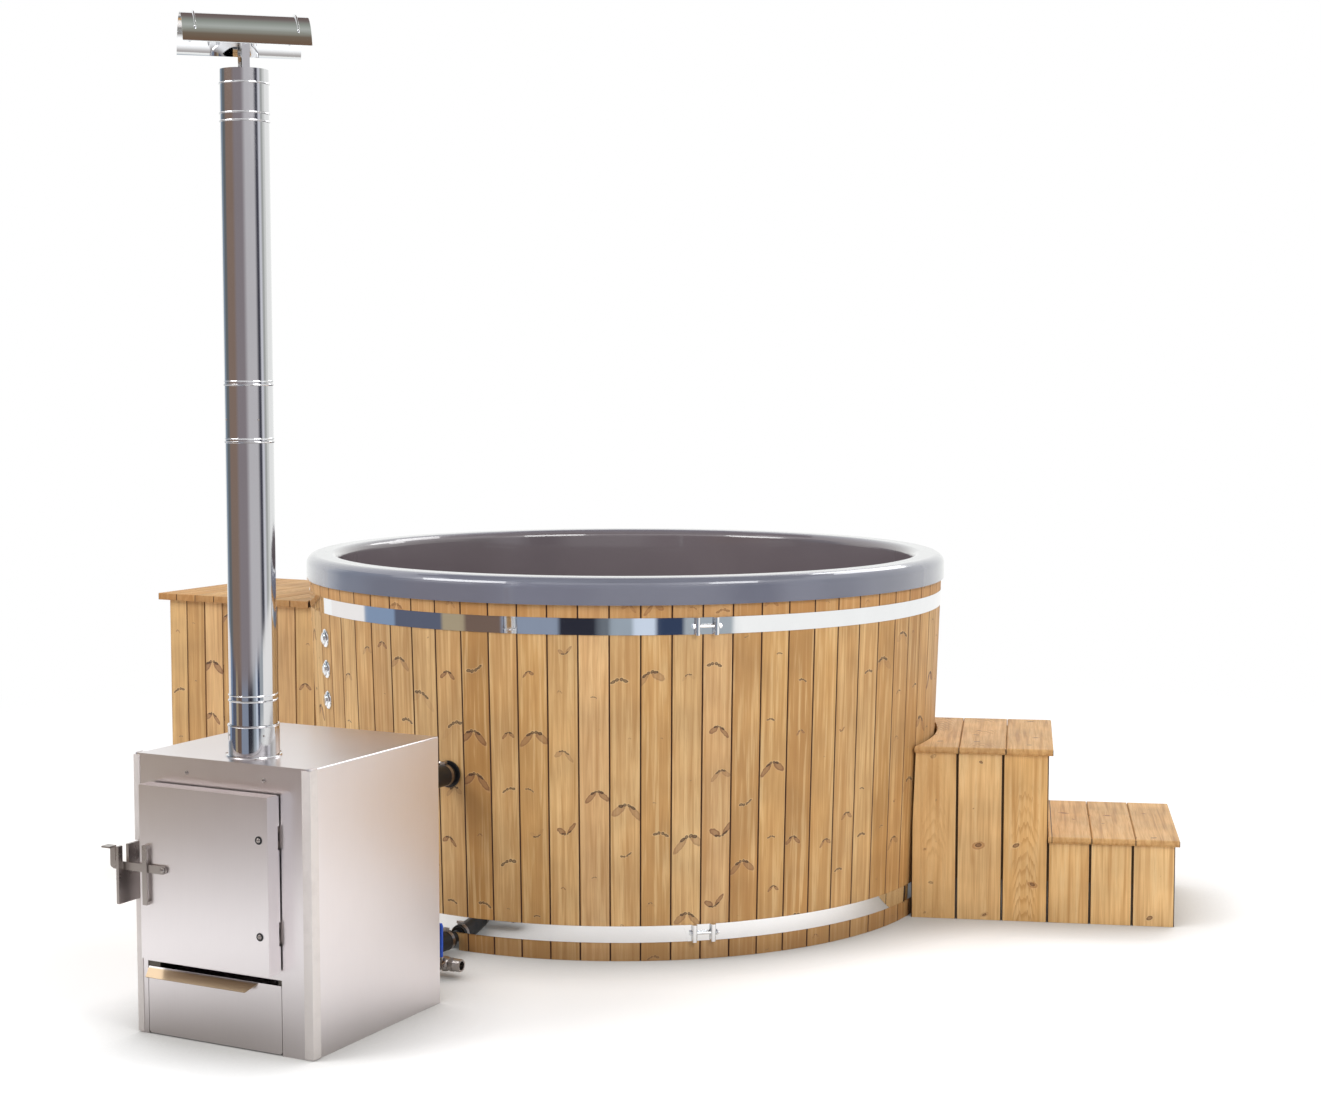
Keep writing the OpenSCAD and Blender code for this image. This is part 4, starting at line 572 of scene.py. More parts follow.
@dataclass(frozen=True)
class Steel:
    """Stainless sheet or bar. The finish runs from a mirror polish to a satin brushing."""

    name: str
    colour: str
    rough: Pair
    lines: Point = (60.0, 60.0, 60.0)
    relief: float = 0.0
    stain: str = ""
    # the colour of a painted reflection on the drawer's flap
    flap_reflection: str = ""
    # the drawer's face and its flap along Y, in metres
    flap: Pair = (-1.9895, -1.993)

    def material(self) -> bpy.types.Material:
        """Builds the steel's material.

        Returns:
            The finished material.
        """
        graph = Graph(bpy.data.materials.new(self.name))
        add = graph.add
        point = add("TexCoord").outputs["Object"]
        scaled = add("VectorMath.MULTIPLY", point, tuple(1 / (step * MM) for step in self.lines))
        brushed = add("TexNoise", {"Vector": scaled, "Scale": 1.0, "Detail": 3.0, "Roughness": 0.6})
        cloud = add("TexNoise", {"Vector": point, "Scale": 1 / 0.14, "Detail": 3.0, "Roughness": 0.55})
        both = add("Math.ADD", brushed, cloud)
        rough = add("MapRange", both, 0.7, 1.3, *self.rough)
        light = add("MapRange", both, 0.75, 1.25, 0.985, 1.01)
        colour = add("VectorMath.MULTIPLY", linear(self.colour)[:3], light)
        coats = []
        if self.stain:
            coats.append((add("MapRange", cloud, 0.5, 0.75, 0.0, 0.5), self.stain))
        if self.flap_reflection:
            # a painted tan reflection on the flap, which stands in front of the drawer's face
            y = add("SeparateXYZ", point).outputs[1]
            coats.append((add("MapRange", y, *self.flap, 0.0, 0.85), self.flap_reflection))
        for share, code in coats:
            colour = add("Mix.RGBA", {0: share, 6: colour, 7: linear(code)}).outputs[2]
        return graph.close({"Base Color": colour, "Metallic": 1.0, "Roughness": rough},
                           brushed if self.relief else None, self.relief)


@dataclass(frozen=True)
class Moulded:
    """Rubber, plastic, paint, cast or spun stuff with a fine surface grain and some wear."""

    name: str
    colour: str
    worn: str
    rough: Pair
    grain: float = 2.0
    relief: float = 0.05
    coat: float = 0.0
    metallic: float = 0.0

    def material(self) -> bpy.types.Material:
        """Builds the moulded stuff's material.

        Returns:
            The finished material.
        """
        graph = Graph(bpy.data.materials.new(self.name))
        add = graph.add
        point = add("TexCoord").outputs["Object"]
        grain = add("TexNoise", {"Vector": point, "Scale": 1 / (self.grain * MM), "Detail": 3.0})
        cloud = add("TexNoise", {"Vector": point, "Scale": 1 / 0.05, "Detail": 4.0, "Roughness": 0.6})
        wear = add("MapRange", cloud, 0.48, 0.72, 0.0, 0.6)
        rough = add("MapRange", cloud, 0.35, 0.7, *self.rough)
        colour = add("Mix.RGBA", {0: wear, 6: linear(self.colour), 7: linear(self.worn)}).outputs[2]
        return graph.close({"Base Color": colour, "Roughness": rough, "Metallic": self.metallic,
                            "Coat Weight": self.coat, "Coat Roughness": 0.15}, grain, self.relief)


@dataclass(frozen=True)
class Gelcoat:
    """Sprayed gel coat on the moulded bath: slate grey, glossy, with a slight orange peel, and a warmer grey
    inside the rim that is painted shade.
    """

    name: str
    rim: str
    bath: str
    rough: Pair
    # the radii in metres between which the rim's grey turns into the bath's, a warmer grey that is painted
    # shade
    edge: Pair = (0.935, 0.905)

    def material(self) -> bpy.types.Material:
        """Builds the bath shell's material.

        Returns:
            The finished material.
        """
        graph = Graph(bpy.data.materials.new(self.name))
        add = graph.add
        point = add("TexCoord").outputs["Object"]
        x, y, _ = add("SeparateXYZ", point).outputs
        radius = add("VectorMath.LENGTH", add("CombineXYZ", x, y)).outputs["Value"]
        # painted shade: inside the rim the grey turns into the bath's warmer grey
        bath_shade_share = add("MapRange.SMOOTHSTEP", radius, *self.edge)
        cloud = add("TexNoise", {"Vector": point, "Scale": 1 / 0.3, "Detail": 3.0})
        light = add("MapRange", cloud, 0.3, 0.7, 0.94, 1.06)
        colour = add("Mix.RGBA", {0: bath_shade_share, 6: linear(self.rim), 7: linear(self.bath)}).outputs[2]
        # orange peel of about 9 mm, as sprayed gel coat has
        peel = add("TexNoise", {"Vector": point, "Scale": 1 / 0.009, "Detail": 1.0})
        return graph.close({"Base Color": add("VectorMath.MULTIPLY", colour, light),
                            "Roughness": add("MapRange", cloud, 0.3, 0.7, *self.rough),
                            "Coat Weight": 1.0, "Coat Roughness": 0.04, "Coat IOR": 1.6}, peel, 0.012)


HONEY = ("#cfa468", "#b68850", "#d6b07a", "#c0935b", "#dab782", "#c89b61", "#b3854b", "#d4aa76", "#c29967")
STEP_TURN = math.radians(18.0)

FINISHES: dict[str, Any] = {
    # oil over heat-treated spruce: deep honey boards with dark twig marks and thin dark joints
    # the staves get painted shade under the rim, and darken towards the feet
    "stave_wood": Timber("heat-treated spruce, oiled", HONEY, "#a8773f", Knot.PAIRED, "#2a1105", "#7e5130",
                         "#3f1d0a", Layout.ROUND, pitch=(0.0873, 0.0873), seam_w=3.0 * MM, knot_every=0.17,
                         knot_share=0.85, contrast=0.6, pale="#e0bd88", ends=True),
    "board_wood": Timber("heat-treated spruce boards, oiled", HONEY, "#9c6c38", Knot.PAIRED, "#33180a",
                         "#83573a", "#4a260e", origin=(-1.456, -0.48, 0.0), seam_w=2.2 * MM, knot_share=0.7,
                         contrast=0.48),
    # planed pine keeps its yellow: broad soft streaks, pointed arches and round brown knots
    "step_wood": Timber("planed pine boards", ("#dfb478", "#e5bf89", "#dbad6e", "#e2b97f"), "#b07a3a",
                        Knot.OVAL, "#5e3412", "#a0642c", "#3f2a14", origin=(0.981, -0.012, -0.01),
                        turn=(0.0, 0.0, STEP_TURN), pitch=(0.1353, 0.1412), second=(0.406, 0.406, 0.124),
                        seam_w=3.2 * MM, knot_every=0.16, knot_share=0.75, contrast=0.6, pale="#e2c08c",
                        arches=0.6),
    "tread_wood": Timber("planed pine treads", ("#d3a568", "#d9ad74", "#cea061"), "#9a672c", Knot.OVAL,
                         "#5e3412", "#a0642c", "#3f2a14", origin=(0.981, -0.012, 0.1),
                         turn=(-math.pi / 2, 0.0, STEP_TURN), pitch=(0.1393, 0.3),
                         second=(0.4185, 0.406, 0.128), butt=0.25, seam_w=2.6 * MM, knot_every=0.12,
                         knot_share=0.8, contrast=0.55, pale="#ddb680", arches=0.6),
    "lid_wood": Timber("planed pine lid", ("#cb9a60", "#d5aa73", "#c5935a"), "#a06b2c", Knot.OVAL, "#5e3412",
                       "#a0642c", "#4a2c14", origin=(-1.486, -0.51, 0.8), turn=(-math.pi / 2, 0.0, 0.0),
                       pitch=(0.0765, 0.3), butt=0.6, seam_w=2.2 * MM, knot_every=0.22, knot_share=0.5,
                       contrast=0.6, arches=0.4),
    # rough from the saw, and dulled by its treatment
    "frame_wood": Timber("sawn pressure-treated softwood", ("#a98a5c", "#b39364", "#9f8054"), "#7f6440",
                         Knot.OVAL, "#5c4426", "#7c5c34", "#3b2a18", pitch=(0.3, 0.3), knot_every=0.4),
    # mirror polish: almost no spread, so the panels of the studio stand out sharply
    "mirror_steel": Steel("mirror-polished stainless steel", "#eceef0", (0.02, 0.05)),
    # bright rolling leaves faint lines along the pipe, which smear its reflections a little
    "flue_steel": Steel("bright-rolled stainless flue pipe", "#dcdcde", (0.06, 0.11), (1.5, 1.5, 80.0),
                        0.004),
    # satin brushing: soft wide reflections, drawn out along the grain
    "brushed_steel": Steel("satin-brushed stainless sheet", "#e8e3e4", (0.28, 0.3), (1.2, 1.2, 120.0),
                           0.0004),
    # the drawer's flap carries a painted tan reflection
    "drawer_steel": Steel("satin-brushed stainless, flap with a painted reflection", "#e8e3e4", (0.28, 0.3),
                          (1.2, 1.2, 120.0), 0.0004, flap_reflection="#c0a47c"),
    # blasted after folding, so the corner strips scatter the light and stay pale from any side
    "pale_steel": Moulded("bead-blasted stainless strip", "#e2dcd9", "#d6d0cd", (0.45, 0.55), 1.2, 0.01,
                          metallic=0.6),
    # a dial without numbers: flat white enamel under a thin gloss
    "dial_white": Moulded("enamelled dial", "#f0efe9", "#e6e4dc", (0.2, 0.3), 6.0, 0.002, 0.4),
    # blasting takes the mirror off, so small fittings look mid grey with soft glints
    "plain_steel": Steel("blasted stainless fittings", "#a8a19d", (0.24, 0.34)),
    # the fire turns the plate dull brown-black in patches
    "fire_steel": Steel("heat-stained boiler steel", "#6d6862", (0.5, 0.65), (14.0, 14.0, 14.0), 0.1,
                        "#33281f"),
    # sprayed and polished: a clear glossy coat over slate grey, with painted shade in the warmer grey of the
    # bath
    "shell": Gelcoat("slate gel coat", "#6d6f7d", "#72686c", (0.16, 0.24)),
    # moulded rubber and plastic: near black with a soft sheen, greyer where it is rubbed
    "black_rubber": Moulded("smooth hose rubber", "#131314", "#26262a", (0.42, 0.58), 3.0, 0.04),
    "fittings": Moulded("moulded black pipe fittings", "#16171a", "#2b2c30", (0.3, 0.42), 1.5, 0.03),
    # sand casting leaves a coarse dull skin that rusts first where it is worn
    "grate_iron": Moulded("cast iron, as cast", "#242323", "#43352b", (0.6, 0.8), 1.8, 0.25, metallic=0.6),
    # woven glass yarn: matt, lumpy and smoke-stained
    "seal_rope": Moulded("woven glass rope", "#8d877a", "#5d564b", (0.85, 0.95), 3.5, 0.9),
    # dipping gives the vinyl a thick, even, slightly shiny skin
    "blue_grip": Moulded("dipped vinyl grip", "#1b4fbe", "#2a62d4", (0.35, 0.5), 2.0, 0.06),
    # baked powder: even satin black with a very fine texture
    "hinge_black": Moulded("black powder coat", "#1a1a1b", "#2a2a2b", (0.42, 0.55), 0.8, 0.05),
    # moulded or painted housings: smooth, with a faint gloss
    "tank": Moulded("glass-filled filter tank", "#39424b", "#48525c", (0.28, 0.4), 2.5, 0.05, 0.2),
    "pump": Moulded("painted pump housing", "#23272c", "#363b41", (0.35, 0.5), 1.2, 0.06, 0.1),
    "pipe_white": Moulded("rigid white pipe", "#dedcd4", "#cdc9bd", (0.3, 0.42), 4.0, 0.02),
}

DRESS: dict[str, tuple[str, ...]] = {
    "stave_wood": ("staves",),
    "board_wood": ("cabinet_boards",),
    "step_wood": ("step_boards",),
    "tread_wood": ("step_treads",),
    "lid_wood": ("cabinet_lid",),
    "frame_wood": ("stave_rings", "base_frame", "cabinet_frame", "step_frame"),
    "mirror_steel": ("upper_hoop", "lower_hoop", "hoop_lugs", "hoop_bolts", "button_bezels", "button_top",
                     "button_middle", "button_bottom", "drain_grate", "air_jets", "cowl_roof", "cowl_rods"),
    "flue_steel": ("chimney_lower", "chimney_upper", "flue_collar", "cowl_bracket"),
    "brushed_steel": ("furnace_casing", "front_panel", "door_shell"),
    "drawer_steel": ("ash_drawer",),
    "plain_steel": ("latch_bar", "latch_guide", "latch_pivot", "keeper", "door_bolts", "casing_screws",
                    "door_knuckles", "hinge_brackets", "hinge_pins", "hose_clamps", "furnace_stubs",
                    "drain_tee", "valve_body", "valve_lever"),
    "fire_steel": ("firebox", "door_liner"),
    "shell": ("tub_shell",),
    "black_rubber": ("upper_hose", "lower_hose"),
    "fittings": ("supply_fitting", "drain_pipe"),
    "grate_iron": ("fire_grate",),
    "seal_rope": ("door_seal",),
    "blue_grip": ("lever_grip",),
    "hinge_black": ("hinge_leaves", "lid_straps"),
    "tank": ("filter_tank",),
    "pump": ("pump",),
    "pipe_white": ("pipework",),
}


class Wardrobe:
    """Makes each finish once and hands it to the pieces."""

    def __init__(self) -> None:
        """Starts with no finish made."""
        self.made: dict[str, bpy.types.Material] = {}

    def get(self, key: str) -> bpy.types.Material:
        """Returns a finish's material, made when it is first asked for.

        Args:
            key: The finish's key in FINISHES.

        Returns:
            The material.
        """
        if key not in self.made:
            self.made[key] = FINISHES[key].material()
        return self.made[key]

    def dress_nodes(self) -> None:
        """Gives every CAD node its finish."""
        for key, nodes in DRESS.items():
            for name in nodes:
                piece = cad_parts[name]
                piece.data.materials.clear()
                piece.data.materials.append(self.get(key))
                LOG.info("finish %s: %s", name, FINISHES[key].name)


@dataclass(frozen=True)
class Panel:
    """A panel round the set, from one bearing to another in degrees, which polished metal mirrors."""

    name: str
    start: float
    end: float
    colour: str

    def stops(self) -> list[tuple[float, str]]:
        """Returns the panel's two places on a colour ramp, with its colour."""
        return [((bearing + 180) / 360, self.colour) for bearing in (self.start, self.end)]


@dataclass
class Studio:
    """A pale floor, soft lamps, and dark and bright panels that only polished metal sees."""

    eye: Point = (3.307, -6.171, 1.632)
    ahead: Point = (-0.457, 0.886, -0.081)
    lens: float = 59.95
    sensor: float = 36.0
    floor_r: float = 60.0
    panel_r: float = 4.4
    panel_h: float = 3.3
    ambient: float = 0.55
    heater: Point = (-0.15, -1.95, 0.0)
    ceiling_h: float = 6.0
    lamps: tuple[tuple[Point, float, float], ...] = (
        ((-4.5, -6.0, 5.5), 4.0, 330.0), ((6.0, -3.0, 5.0), 3.5, 230.0), ((1.0, 5.5, 6.0), 4.0, 180.0))
    low_panels: tuple[Panel, ...] = (
        Panel("window", -180, -157, "#f0ebe8"), Panel("grey wall", -156, -142, "#8496b0"),
        Panel("dark wall", -141, -122, "#5c6172"), Panel("pale door", -121, -114, "#a8997f"),
        Panel("timber store", -113, -101, "#725f55"), Panel("blue screen", -100, -83, "#8a94a6"),
        Panel("black flag", -82, -71, "#2c2d37"), Panel("grey flag", -70, -67, "#6a7078"),
        Panel("grey screen", -66, -60, "#9aa4ae"), Panel("pale screen", -59, -53, "#cdd7e6"),
        Panel("blue flag", -52, -45, "#35415a"), Panel("soft wall", -44, -29, "#a4abb1"),
        Panel("white sheet", -28, 180, "#f7f6f4"))
    high_panels: tuple[Panel, ...] = (
        Panel("window", -180, -177, "#dde4e9"), Panel("grey wall", -168, -158, "#8493a2"),
        Panel("slate wall", -149, -138, "#686d70"), Panel("timber store", -130, -106, "#88756a"),
        Panel("soft screen", -97, -78, "#8b8387"), Panel("pale screen", -67, -37, "#c4c2c5"),
        Panel("dark flag", -26, -18, "#44444e"), Panel("pale wall", -10, -3, "#d6d7de"),
        Panel("grey wall", 6, 13, "#aaaca9"), Panel("pale door", 24, 32, "#dcdedb"),
        Panel("white sheet", 50, 180, "#f6f7f5"))
    overhead: tuple[tuple[float, str], ...] = (
        (-4.4, "#6a5c59"), (-2.4, "#756a67"), (-1.1, "#8f938b"), (0.0, "#aeb1ab"), (0.8, "#97988f"),
        (1.5, "#75685a"), (3.0, "#705948"), (4.4, "#8a8178"))
    aim: Point = (0.0, -0.3, 0.5)
    # heights in metres at which the high panels start, and at which the white strip on the floor ends
    rise: Pair = (0.48, 0.58)
    strip: Pair = (0.28, 0.12)
    # the direction along which the ceiling is shaded, counted from over the chimney
    slope: Point = (0.643, -0.766, 0.0)
    chimney: Point = (-0.034, -1.873, 0.0)

    def camera(self) -> None:
        """Places the camera as the photograph was taken."""
        data = bpy.data.cameras.new("photo_camera")
        data.lens, data.sensor_width, data.sensor_fit = self.lens, self.sensor, "HORIZONTAL"
        data.clip_end = 200.0
        camera = bpy.data.objects.new("photo_camera", data)
        bpy.context.scene.collection.objects.link(camera)
        camera.location = self.eye
        camera.rotation_euler = Vector(self.ahead).to_track_quat("-Z", "Y").to_euler()
        bpy.context.scene.camera = camera

    def world(self) -> None:
        """Lights the scene evenly and shows white where a ray leaves it."""
        bpy.context.scene.world = bpy.data.worlds.new("studio")
        graph = Graph(bpy.context.scene.world)
        add = graph.add
        strength = add("MapRange", self.seen(graph), None, None, self.ambient, 1.0)
        add("OutputWorld", add("Background", WHITE, strength))

    @staticmethod
    def seen(graph: Graph) -> bpy.types.Node:
        """Tells rays that show the background from those that light the object.

        Args:
            graph: The nodes that need it.

        Returns:
            The node that is 1 for camera, glossy and transmission rays.
        """
        add = graph.add
        rays = add("LightPath").outputs
        either = add("Math.MAXIMUM", rays["Is Camera Ray"], rays["Is Glossy Ray"])
        return add("Math.MAXIMUM", either, rays["Is Transmission Ray"])

    @staticmethod
    def put_up(name: str, graph: Graph) -> Piece:
        """Args:
            name: The sheet's name.
            graph: The nodes of its material.

        Returns:
            The sheet.
        """
        sheet = bpy.context.active_object
        sheet.name = name
        sheet.data.materials.append(graph.owner)
        sheet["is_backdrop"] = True
        return sheet

    @staticmethod
    def mirror_only(sheet: Piece) -> None:
        """Hides a sheet from every ray but a glossy one, and applies its place.

        Args:
            sheet: The sheet, which is selected.
        """
        bpy.ops.object.transform_apply(location=True, rotation=False, scale=False)
        sheet.visible_camera = sheet.visible_diffuse = False
        sheet.visible_shadow = sheet.visible_transmission = False

    def floor(self) -> None:
        """Lays the pale floor, which keeps the object's shadow and turns to white far off."""
        graph = Graph(bpy.data.materials.new("pale studio floor"))
        add = graph.add
        point = add("TexCoord").outputs["Object"]
        reach = add("VectorMath.LENGTH", point).outputs["Value"]
        seen = self.seen(graph)
        # the shadow is deepest within a hand's width of what stands on the floor
        close_by = add("AmbientOcclusion", {"Distance": 0.3}, samples=8)
        open_sky = add("MapRange", close_by.outputs["AO"], 0.45, 1.0)
        tone = add("Mix.RGBA", {0: open_sky, 6: linear("#b4b3b0"), 7: linear("#f4f4f4")}).outputs[2]
        lift = add("MapRange", open_sky, None, None, 0.06, 0.21)
        glow = add("Emission", WHITE, add("Math.MULTIPLY", seen, lift))
        shown = add("AddShader", add("BsdfDiffuse", tone), glow)
        far = add("MapRange.SMOOTHSTEP", reach, 2.6, 5.2)
        # what satin steel mirrors darkens away from the set and close to the heater's foot, which shades
        # its upright faces from top to bottom
        glossy = add("LightPath").outputs["Is Glossy Ray"]
        dusk = add("MapRange.SMOOTHSTEP", reach, 3.0, 4.3)
        to_heater = add("VectorMath.DISTANCE", point, self.heater).outputs["Value"]
        foot = add("MapRange.SMOOTHSTEP", to_heater, 1.0, 0.1, 0.0, 0.85)
        for share, ray, colour in ((far, seen, WHITE), (dusk, glossy, linear("#b5afad")),
                                   (foot, glossy, linear("#8b8681"))):
            veil = add("Math.MULTIPLY", share, ray)
            shown = add("MixShader", veil, shown, add("Emission", colour, 1.0))
        add("OutputMaterial", shown)
        ready()
        bpy.ops.mesh.primitive_circle_add(vertices=96, radius=self.floor_r, fill_type="NGON",
                                          location=(0.0, 0.0, -0.5 * MM))
        self.put_up("studio_floor", graph)

    def panels(self) -> None:
        """Stands reflector panels round the set, which only glossy rays see."""
        graph = Graph(bpy.data.materials.new("studio panels"))
        add = graph.add
        x, y, height = add("SeparateXYZ", add("TexCoord").outputs["Object"]).outputs
        bearing = add("Math.ARCTAN2", y, x)
        place = add("Math.MULTIPLY_ADD", bearing, 1 / math.tau, 0.5)
        low, high = [add("ValToRGB", place, stops=[stop for panel in row for stop in panel.stops()])
                     for row in (self.low_panels, self.high_panels)]
        rise = add("MapRange.SMOOTHSTEP", height, *self.rise)
        colour = add("Mix.RGBA", {0: rise, 6: low, 7: high}).outputs[2]
        # a white strip stands along the floor, from in front of the heater round by the right to the back
        foot = add("Math.MULTIPLY", add("MapRange.SMOOTHSTEP", height, *self.strip),
                   add("MapRange.SMOOTHSTEP", place, 0.25, 0.31))
        colour = add("Mix.RGBA", {0: foot, 6: colour, 7: linear("#f2f2f0")}).outputs[2]
        add("OutputMaterial", add("Emission", colour, 1.1))
        ready()
        bpy.ops.mesh.primitive_cylinder_add(vertices=128, radius=self.panel_r, depth=self.panel_h,
                                            end_fill_type="NOTHING", location=(0.0, 0.0, self.panel_h / 2))
        self.mirror_only(self.put_up("studio_panels", graph))

    def ceiling(self) -> None:
        """Hangs a shaded sheet over the set, which only glossy rays see."""
        graph = Graph(bpy.data.materials.new("studio ceiling"))
        add = graph.add
        offset = add("VectorMath.SUBTRACT", add("TexCoord").outputs["Object"], self.chimney)
        ahead = add("VectorMath.DOT_PRODUCT", offset, self.slope).outputs["Value"]
        place = add("MapRange", ahead, -self.panel_r, self.panel_r)
        stops = [((along + self.panel_r) / (2 * self.panel_r), code) for along, code in self.overhead]
        colour = add("ValToRGB", place, stops=stops)
        add("OutputMaterial", add("Emission", colour, 1.05))
        ready()
        bpy.ops.mesh.primitive_circle_add(vertices=64, radius=self.panel_r, fill_type="NGON",
                                          location=(0.0, 0.0, self.ceiling_h))
        self.mirror_only(self.put_up("studio_ceiling", graph))

    def lights(self) -> None:
        """Hangs the soft lamps, each aimed at the tub."""
        for number, (place, size, power) in enumerate(self.lamps):
            data = bpy.data.lights.new(f"softbox_{number}", "AREA")
            data.shape, data.size, data.energy = "SQUARE", size, power
            lamp = bpy.data.objects.new(data.name, data)
            bpy.context.scene.collection.objects.link(lamp)
            lamp.location = place
            lamp.rotation_euler = (Vector(self.aim) - Vector(place)).to_track_quat("-Z", "Y").to_euler()

    def build(self) -> None:
        """Sets the whole studio up."""
        self.camera()
        self.world()
        self.floor()
        self.panels()
        self.ceiling()
        self.lights()
        bpy.context.scene.view_settings.view_transform = "Standard"


@dataclass
class Fittings:
    """A group of small pieces that dress one part of the tub."""

    wardrobe: Wardrobe

    def hand_over(self, piece: Piece, finish: str, slot: str, body: str = "tub",
                  seats: Sequence[Matrix] = ()) -> None:
        """Dresses a finished piece and lets it ride on its body.

        Args:
            piece: The piece.
            finish: Its key in FINISHES.
            slot: Not used.
            body: The body that carries it.
            seats: Where its copies go, if it isn't in its place yet.
        """
        if seats:
            piece = repeat(piece, seats)
        ready(piece)
        piece.data.materials.clear()
        piece.data.materials.append(self.wardrobe.get(finish))
        bpy.ops.object.shade_smooth_by_angle(angle=SHARP)
        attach(piece, body)
        LOG.info("piece %s on %s: %s, %d faces", piece.name, body, FINISHES[finish].name,
                 len(piece.data.polygons))

    @staticmethod
    def around(centre: Pair, radius: float, height: float, bearings: Sequence[float],
               lean: float = 0.0) -> list[Matrix]:
        """Finds where copies go round an upright axis.

        Args:
            centre: The axis in millimetres.
            radius: The copies' distance from it in millimetres.
            height: Their height in millimetres.
            bearings: Their bearings in degrees.
            lean: 1 where they point outwards, -1 where they point inwards, and 0 where they stand up.

        Returns:
            The copies' seats.
        """
        seats = []
        for bearing in bearings:
            x, y = math.cos(math.radians(bearing)), math.sin(math.radians(bearing))
            axis = (lean * x, lean * y, 0.0) if lean else UP
            seats.append(seat((centre[0] + radius * x, centre[1] + radius * y, height), axis))
        return seats


@dataclass
class HeaterTrim(Fittings):
    """Corner strips on the heater's front, the door's side lips and the black washers of its bolts, whose
    black ring is partly painted shadow.
    """

    front: float = -1989.0
    left: float = -313.0
    right: float = 219.0
    foot: float = 3.0
    top: float = 699.5
    strip_w: Pair = (17.0, 24.0)
    strip_t: float = 1.4
    return_l: float = 29.0
    keeper: Pair = (338.0, 485.0)
    door_x: float = 130.0
    door_back: float = -1999.0
    lip: Pair = (1.5, 6.5)
    lips: tuple[Pair, ...] = ((209.0, 271.0), (329.0, 504.0), (562.0, 634.0))
    bolts: tuple[Point, ...] = ((104.0, -2039.0, 300.0), (104.0, -2039.0, 533.0))

    def strip(self, name: str, side: int, low: float, high: float) -> Piece:
        """Bends one corner strip.

        Args:
            name: The strip's name.
            side: 1 for the right corner, -1 for the left one.
            low: Its foot in millimetres.
            high: Its head in millimetres.

        Returns:
            The strip.
        """
        corner = self.right if side > 0 else self.left
        bend = (corner + side * AIR) * MM
        across = sorted((corner + side * (AIR + self.strip_t), corner - side * self.strip_w[side > 0]))
        piece = plate(name, (across[0], self.front - AIR - self.strip_t, low),
                      (across[1], self.front - AIR, high), 0.3)
        open_up(piece)
        bpy.ops.mesh.bisect(plane_co=(bend, 0.0, 0.0), plane_no=(1.0, 0.0, 0.0))
        pick(piece, lambda centre, normal: normal.y > 0.9 and side * (centre.x - bend) > 0)
        bpy.ops.mesh.extrude_region_move(TRANSFORM_OT_translate={"value": (0.0, self.return_l * MM, 0.0)})
        heal(piece)
        return piece

    def build(self) -> None:
        """Builds the heater's trim."""
        for name, side, low, high in (("right", 1, self.foot, self.top),
                                      ("left_lower", -1, self.foot, self.keeper[0]),
                                      ("left_upper", -1, self.keeper[1], self.top)):
            strip = self.strip(f"corner_strip_{name}", side, low, high)
            self.hand_over(strip, "pale_steel", "brushed_steel")
        thick, deep = self.lip
        edge, back = self.door_x - AIR, self.door_back - 0.5
        for number, (low, high) in enumerate(self.lips):
            lip = plate(f"door_lip_{number + 1}", (edge - thick, back, low), (edge, back + deep, high), 0.4)
            self.hand_over(lip, "brushed_steel", "brushed_steel", "door")
        # black washers under the bolts: real washers, and their wide black ring also stands for the bolts'
        # shadows on the door, which is painted shadow
        washer = turned("door_bolt_washers_and_shadows", [
            (6.3, 0.1), (9.6, 0.1), (10.2, 0.6), (9.4, 1.7), (7.4, 2.0), (6.3, 1.6), (6.3, 0.1)])
        seats = [seat(place, (0.0, -1.0, 0.0)) for place in self.bolts]
        self.hand_over(washer, "fittings", "fittings", "door", seats)


@dataclass
class CabinetLid(Fittings):
    """The cabinet's lid: boards from front to back on two battens, cut to the tub's curve."""

    corner: Pair = (-1486.0, -500.0)
    back: float = 104.5
    pitch: float = 76.5
    gap: float = 1.0
    count: int = 8
    under: float = 893.3
    thick: float = 21.7
    battens: tuple[Pair, ...] = ((-405.0, -355.0), (-50.0, 0.0))
    batten_x: Pair = (-1380.0, -890.0)
    batten_t: float = 19.9
    curve_r: float = 1012.0

    def build(self) -> None:
        """Builds the lid, which stands for the CAD's own and moves with it."""
        left, front = self.corner
        board = plate("lid_boards", (left, front, self.under),
                      (left + self.pitch - self.gap, self.back, self.under + self.thick), 1.6)
        lid = repeat(board, [Matrix.Translation((i * self.pitch * MM, 0.0, 0.0)) for i in range(self.count)])
        under = self.under - AIR
        battens = [plate("lid_batten", (self.batten_x[0], low, under - self.batten_t),
                         (self.batten_x[1], high, under), 1.5) for low, high in self.battens]
        ready(lid)
        for batten in battens:
            batten.select_set(True)
        bpy.ops.object.join()
        ready()
        bpy.ops.mesh.primitive_cylinder_add(vertices=256, radius=self.curve_r * MM, depth=0.4,
                                            location=(0.0, 0.0, self.under * MM))
        round_cut = bpy.context.active_object
        ready(lid)
        cut = lid.modifiers.new("tub_curve", "BOOLEAN")
        cut.operation, cut.solver, cut.object = "DIFFERENCE", "EXACT", round_cut
        bpy.ops.object.modifier_apply(modifier=cut.name)
        bpy.data.objects.remove(round_cut)
        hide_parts("cabinet_lid")
        self.hand_over(lid, "lid_wood", "pale_wood", "cabinet_lid")


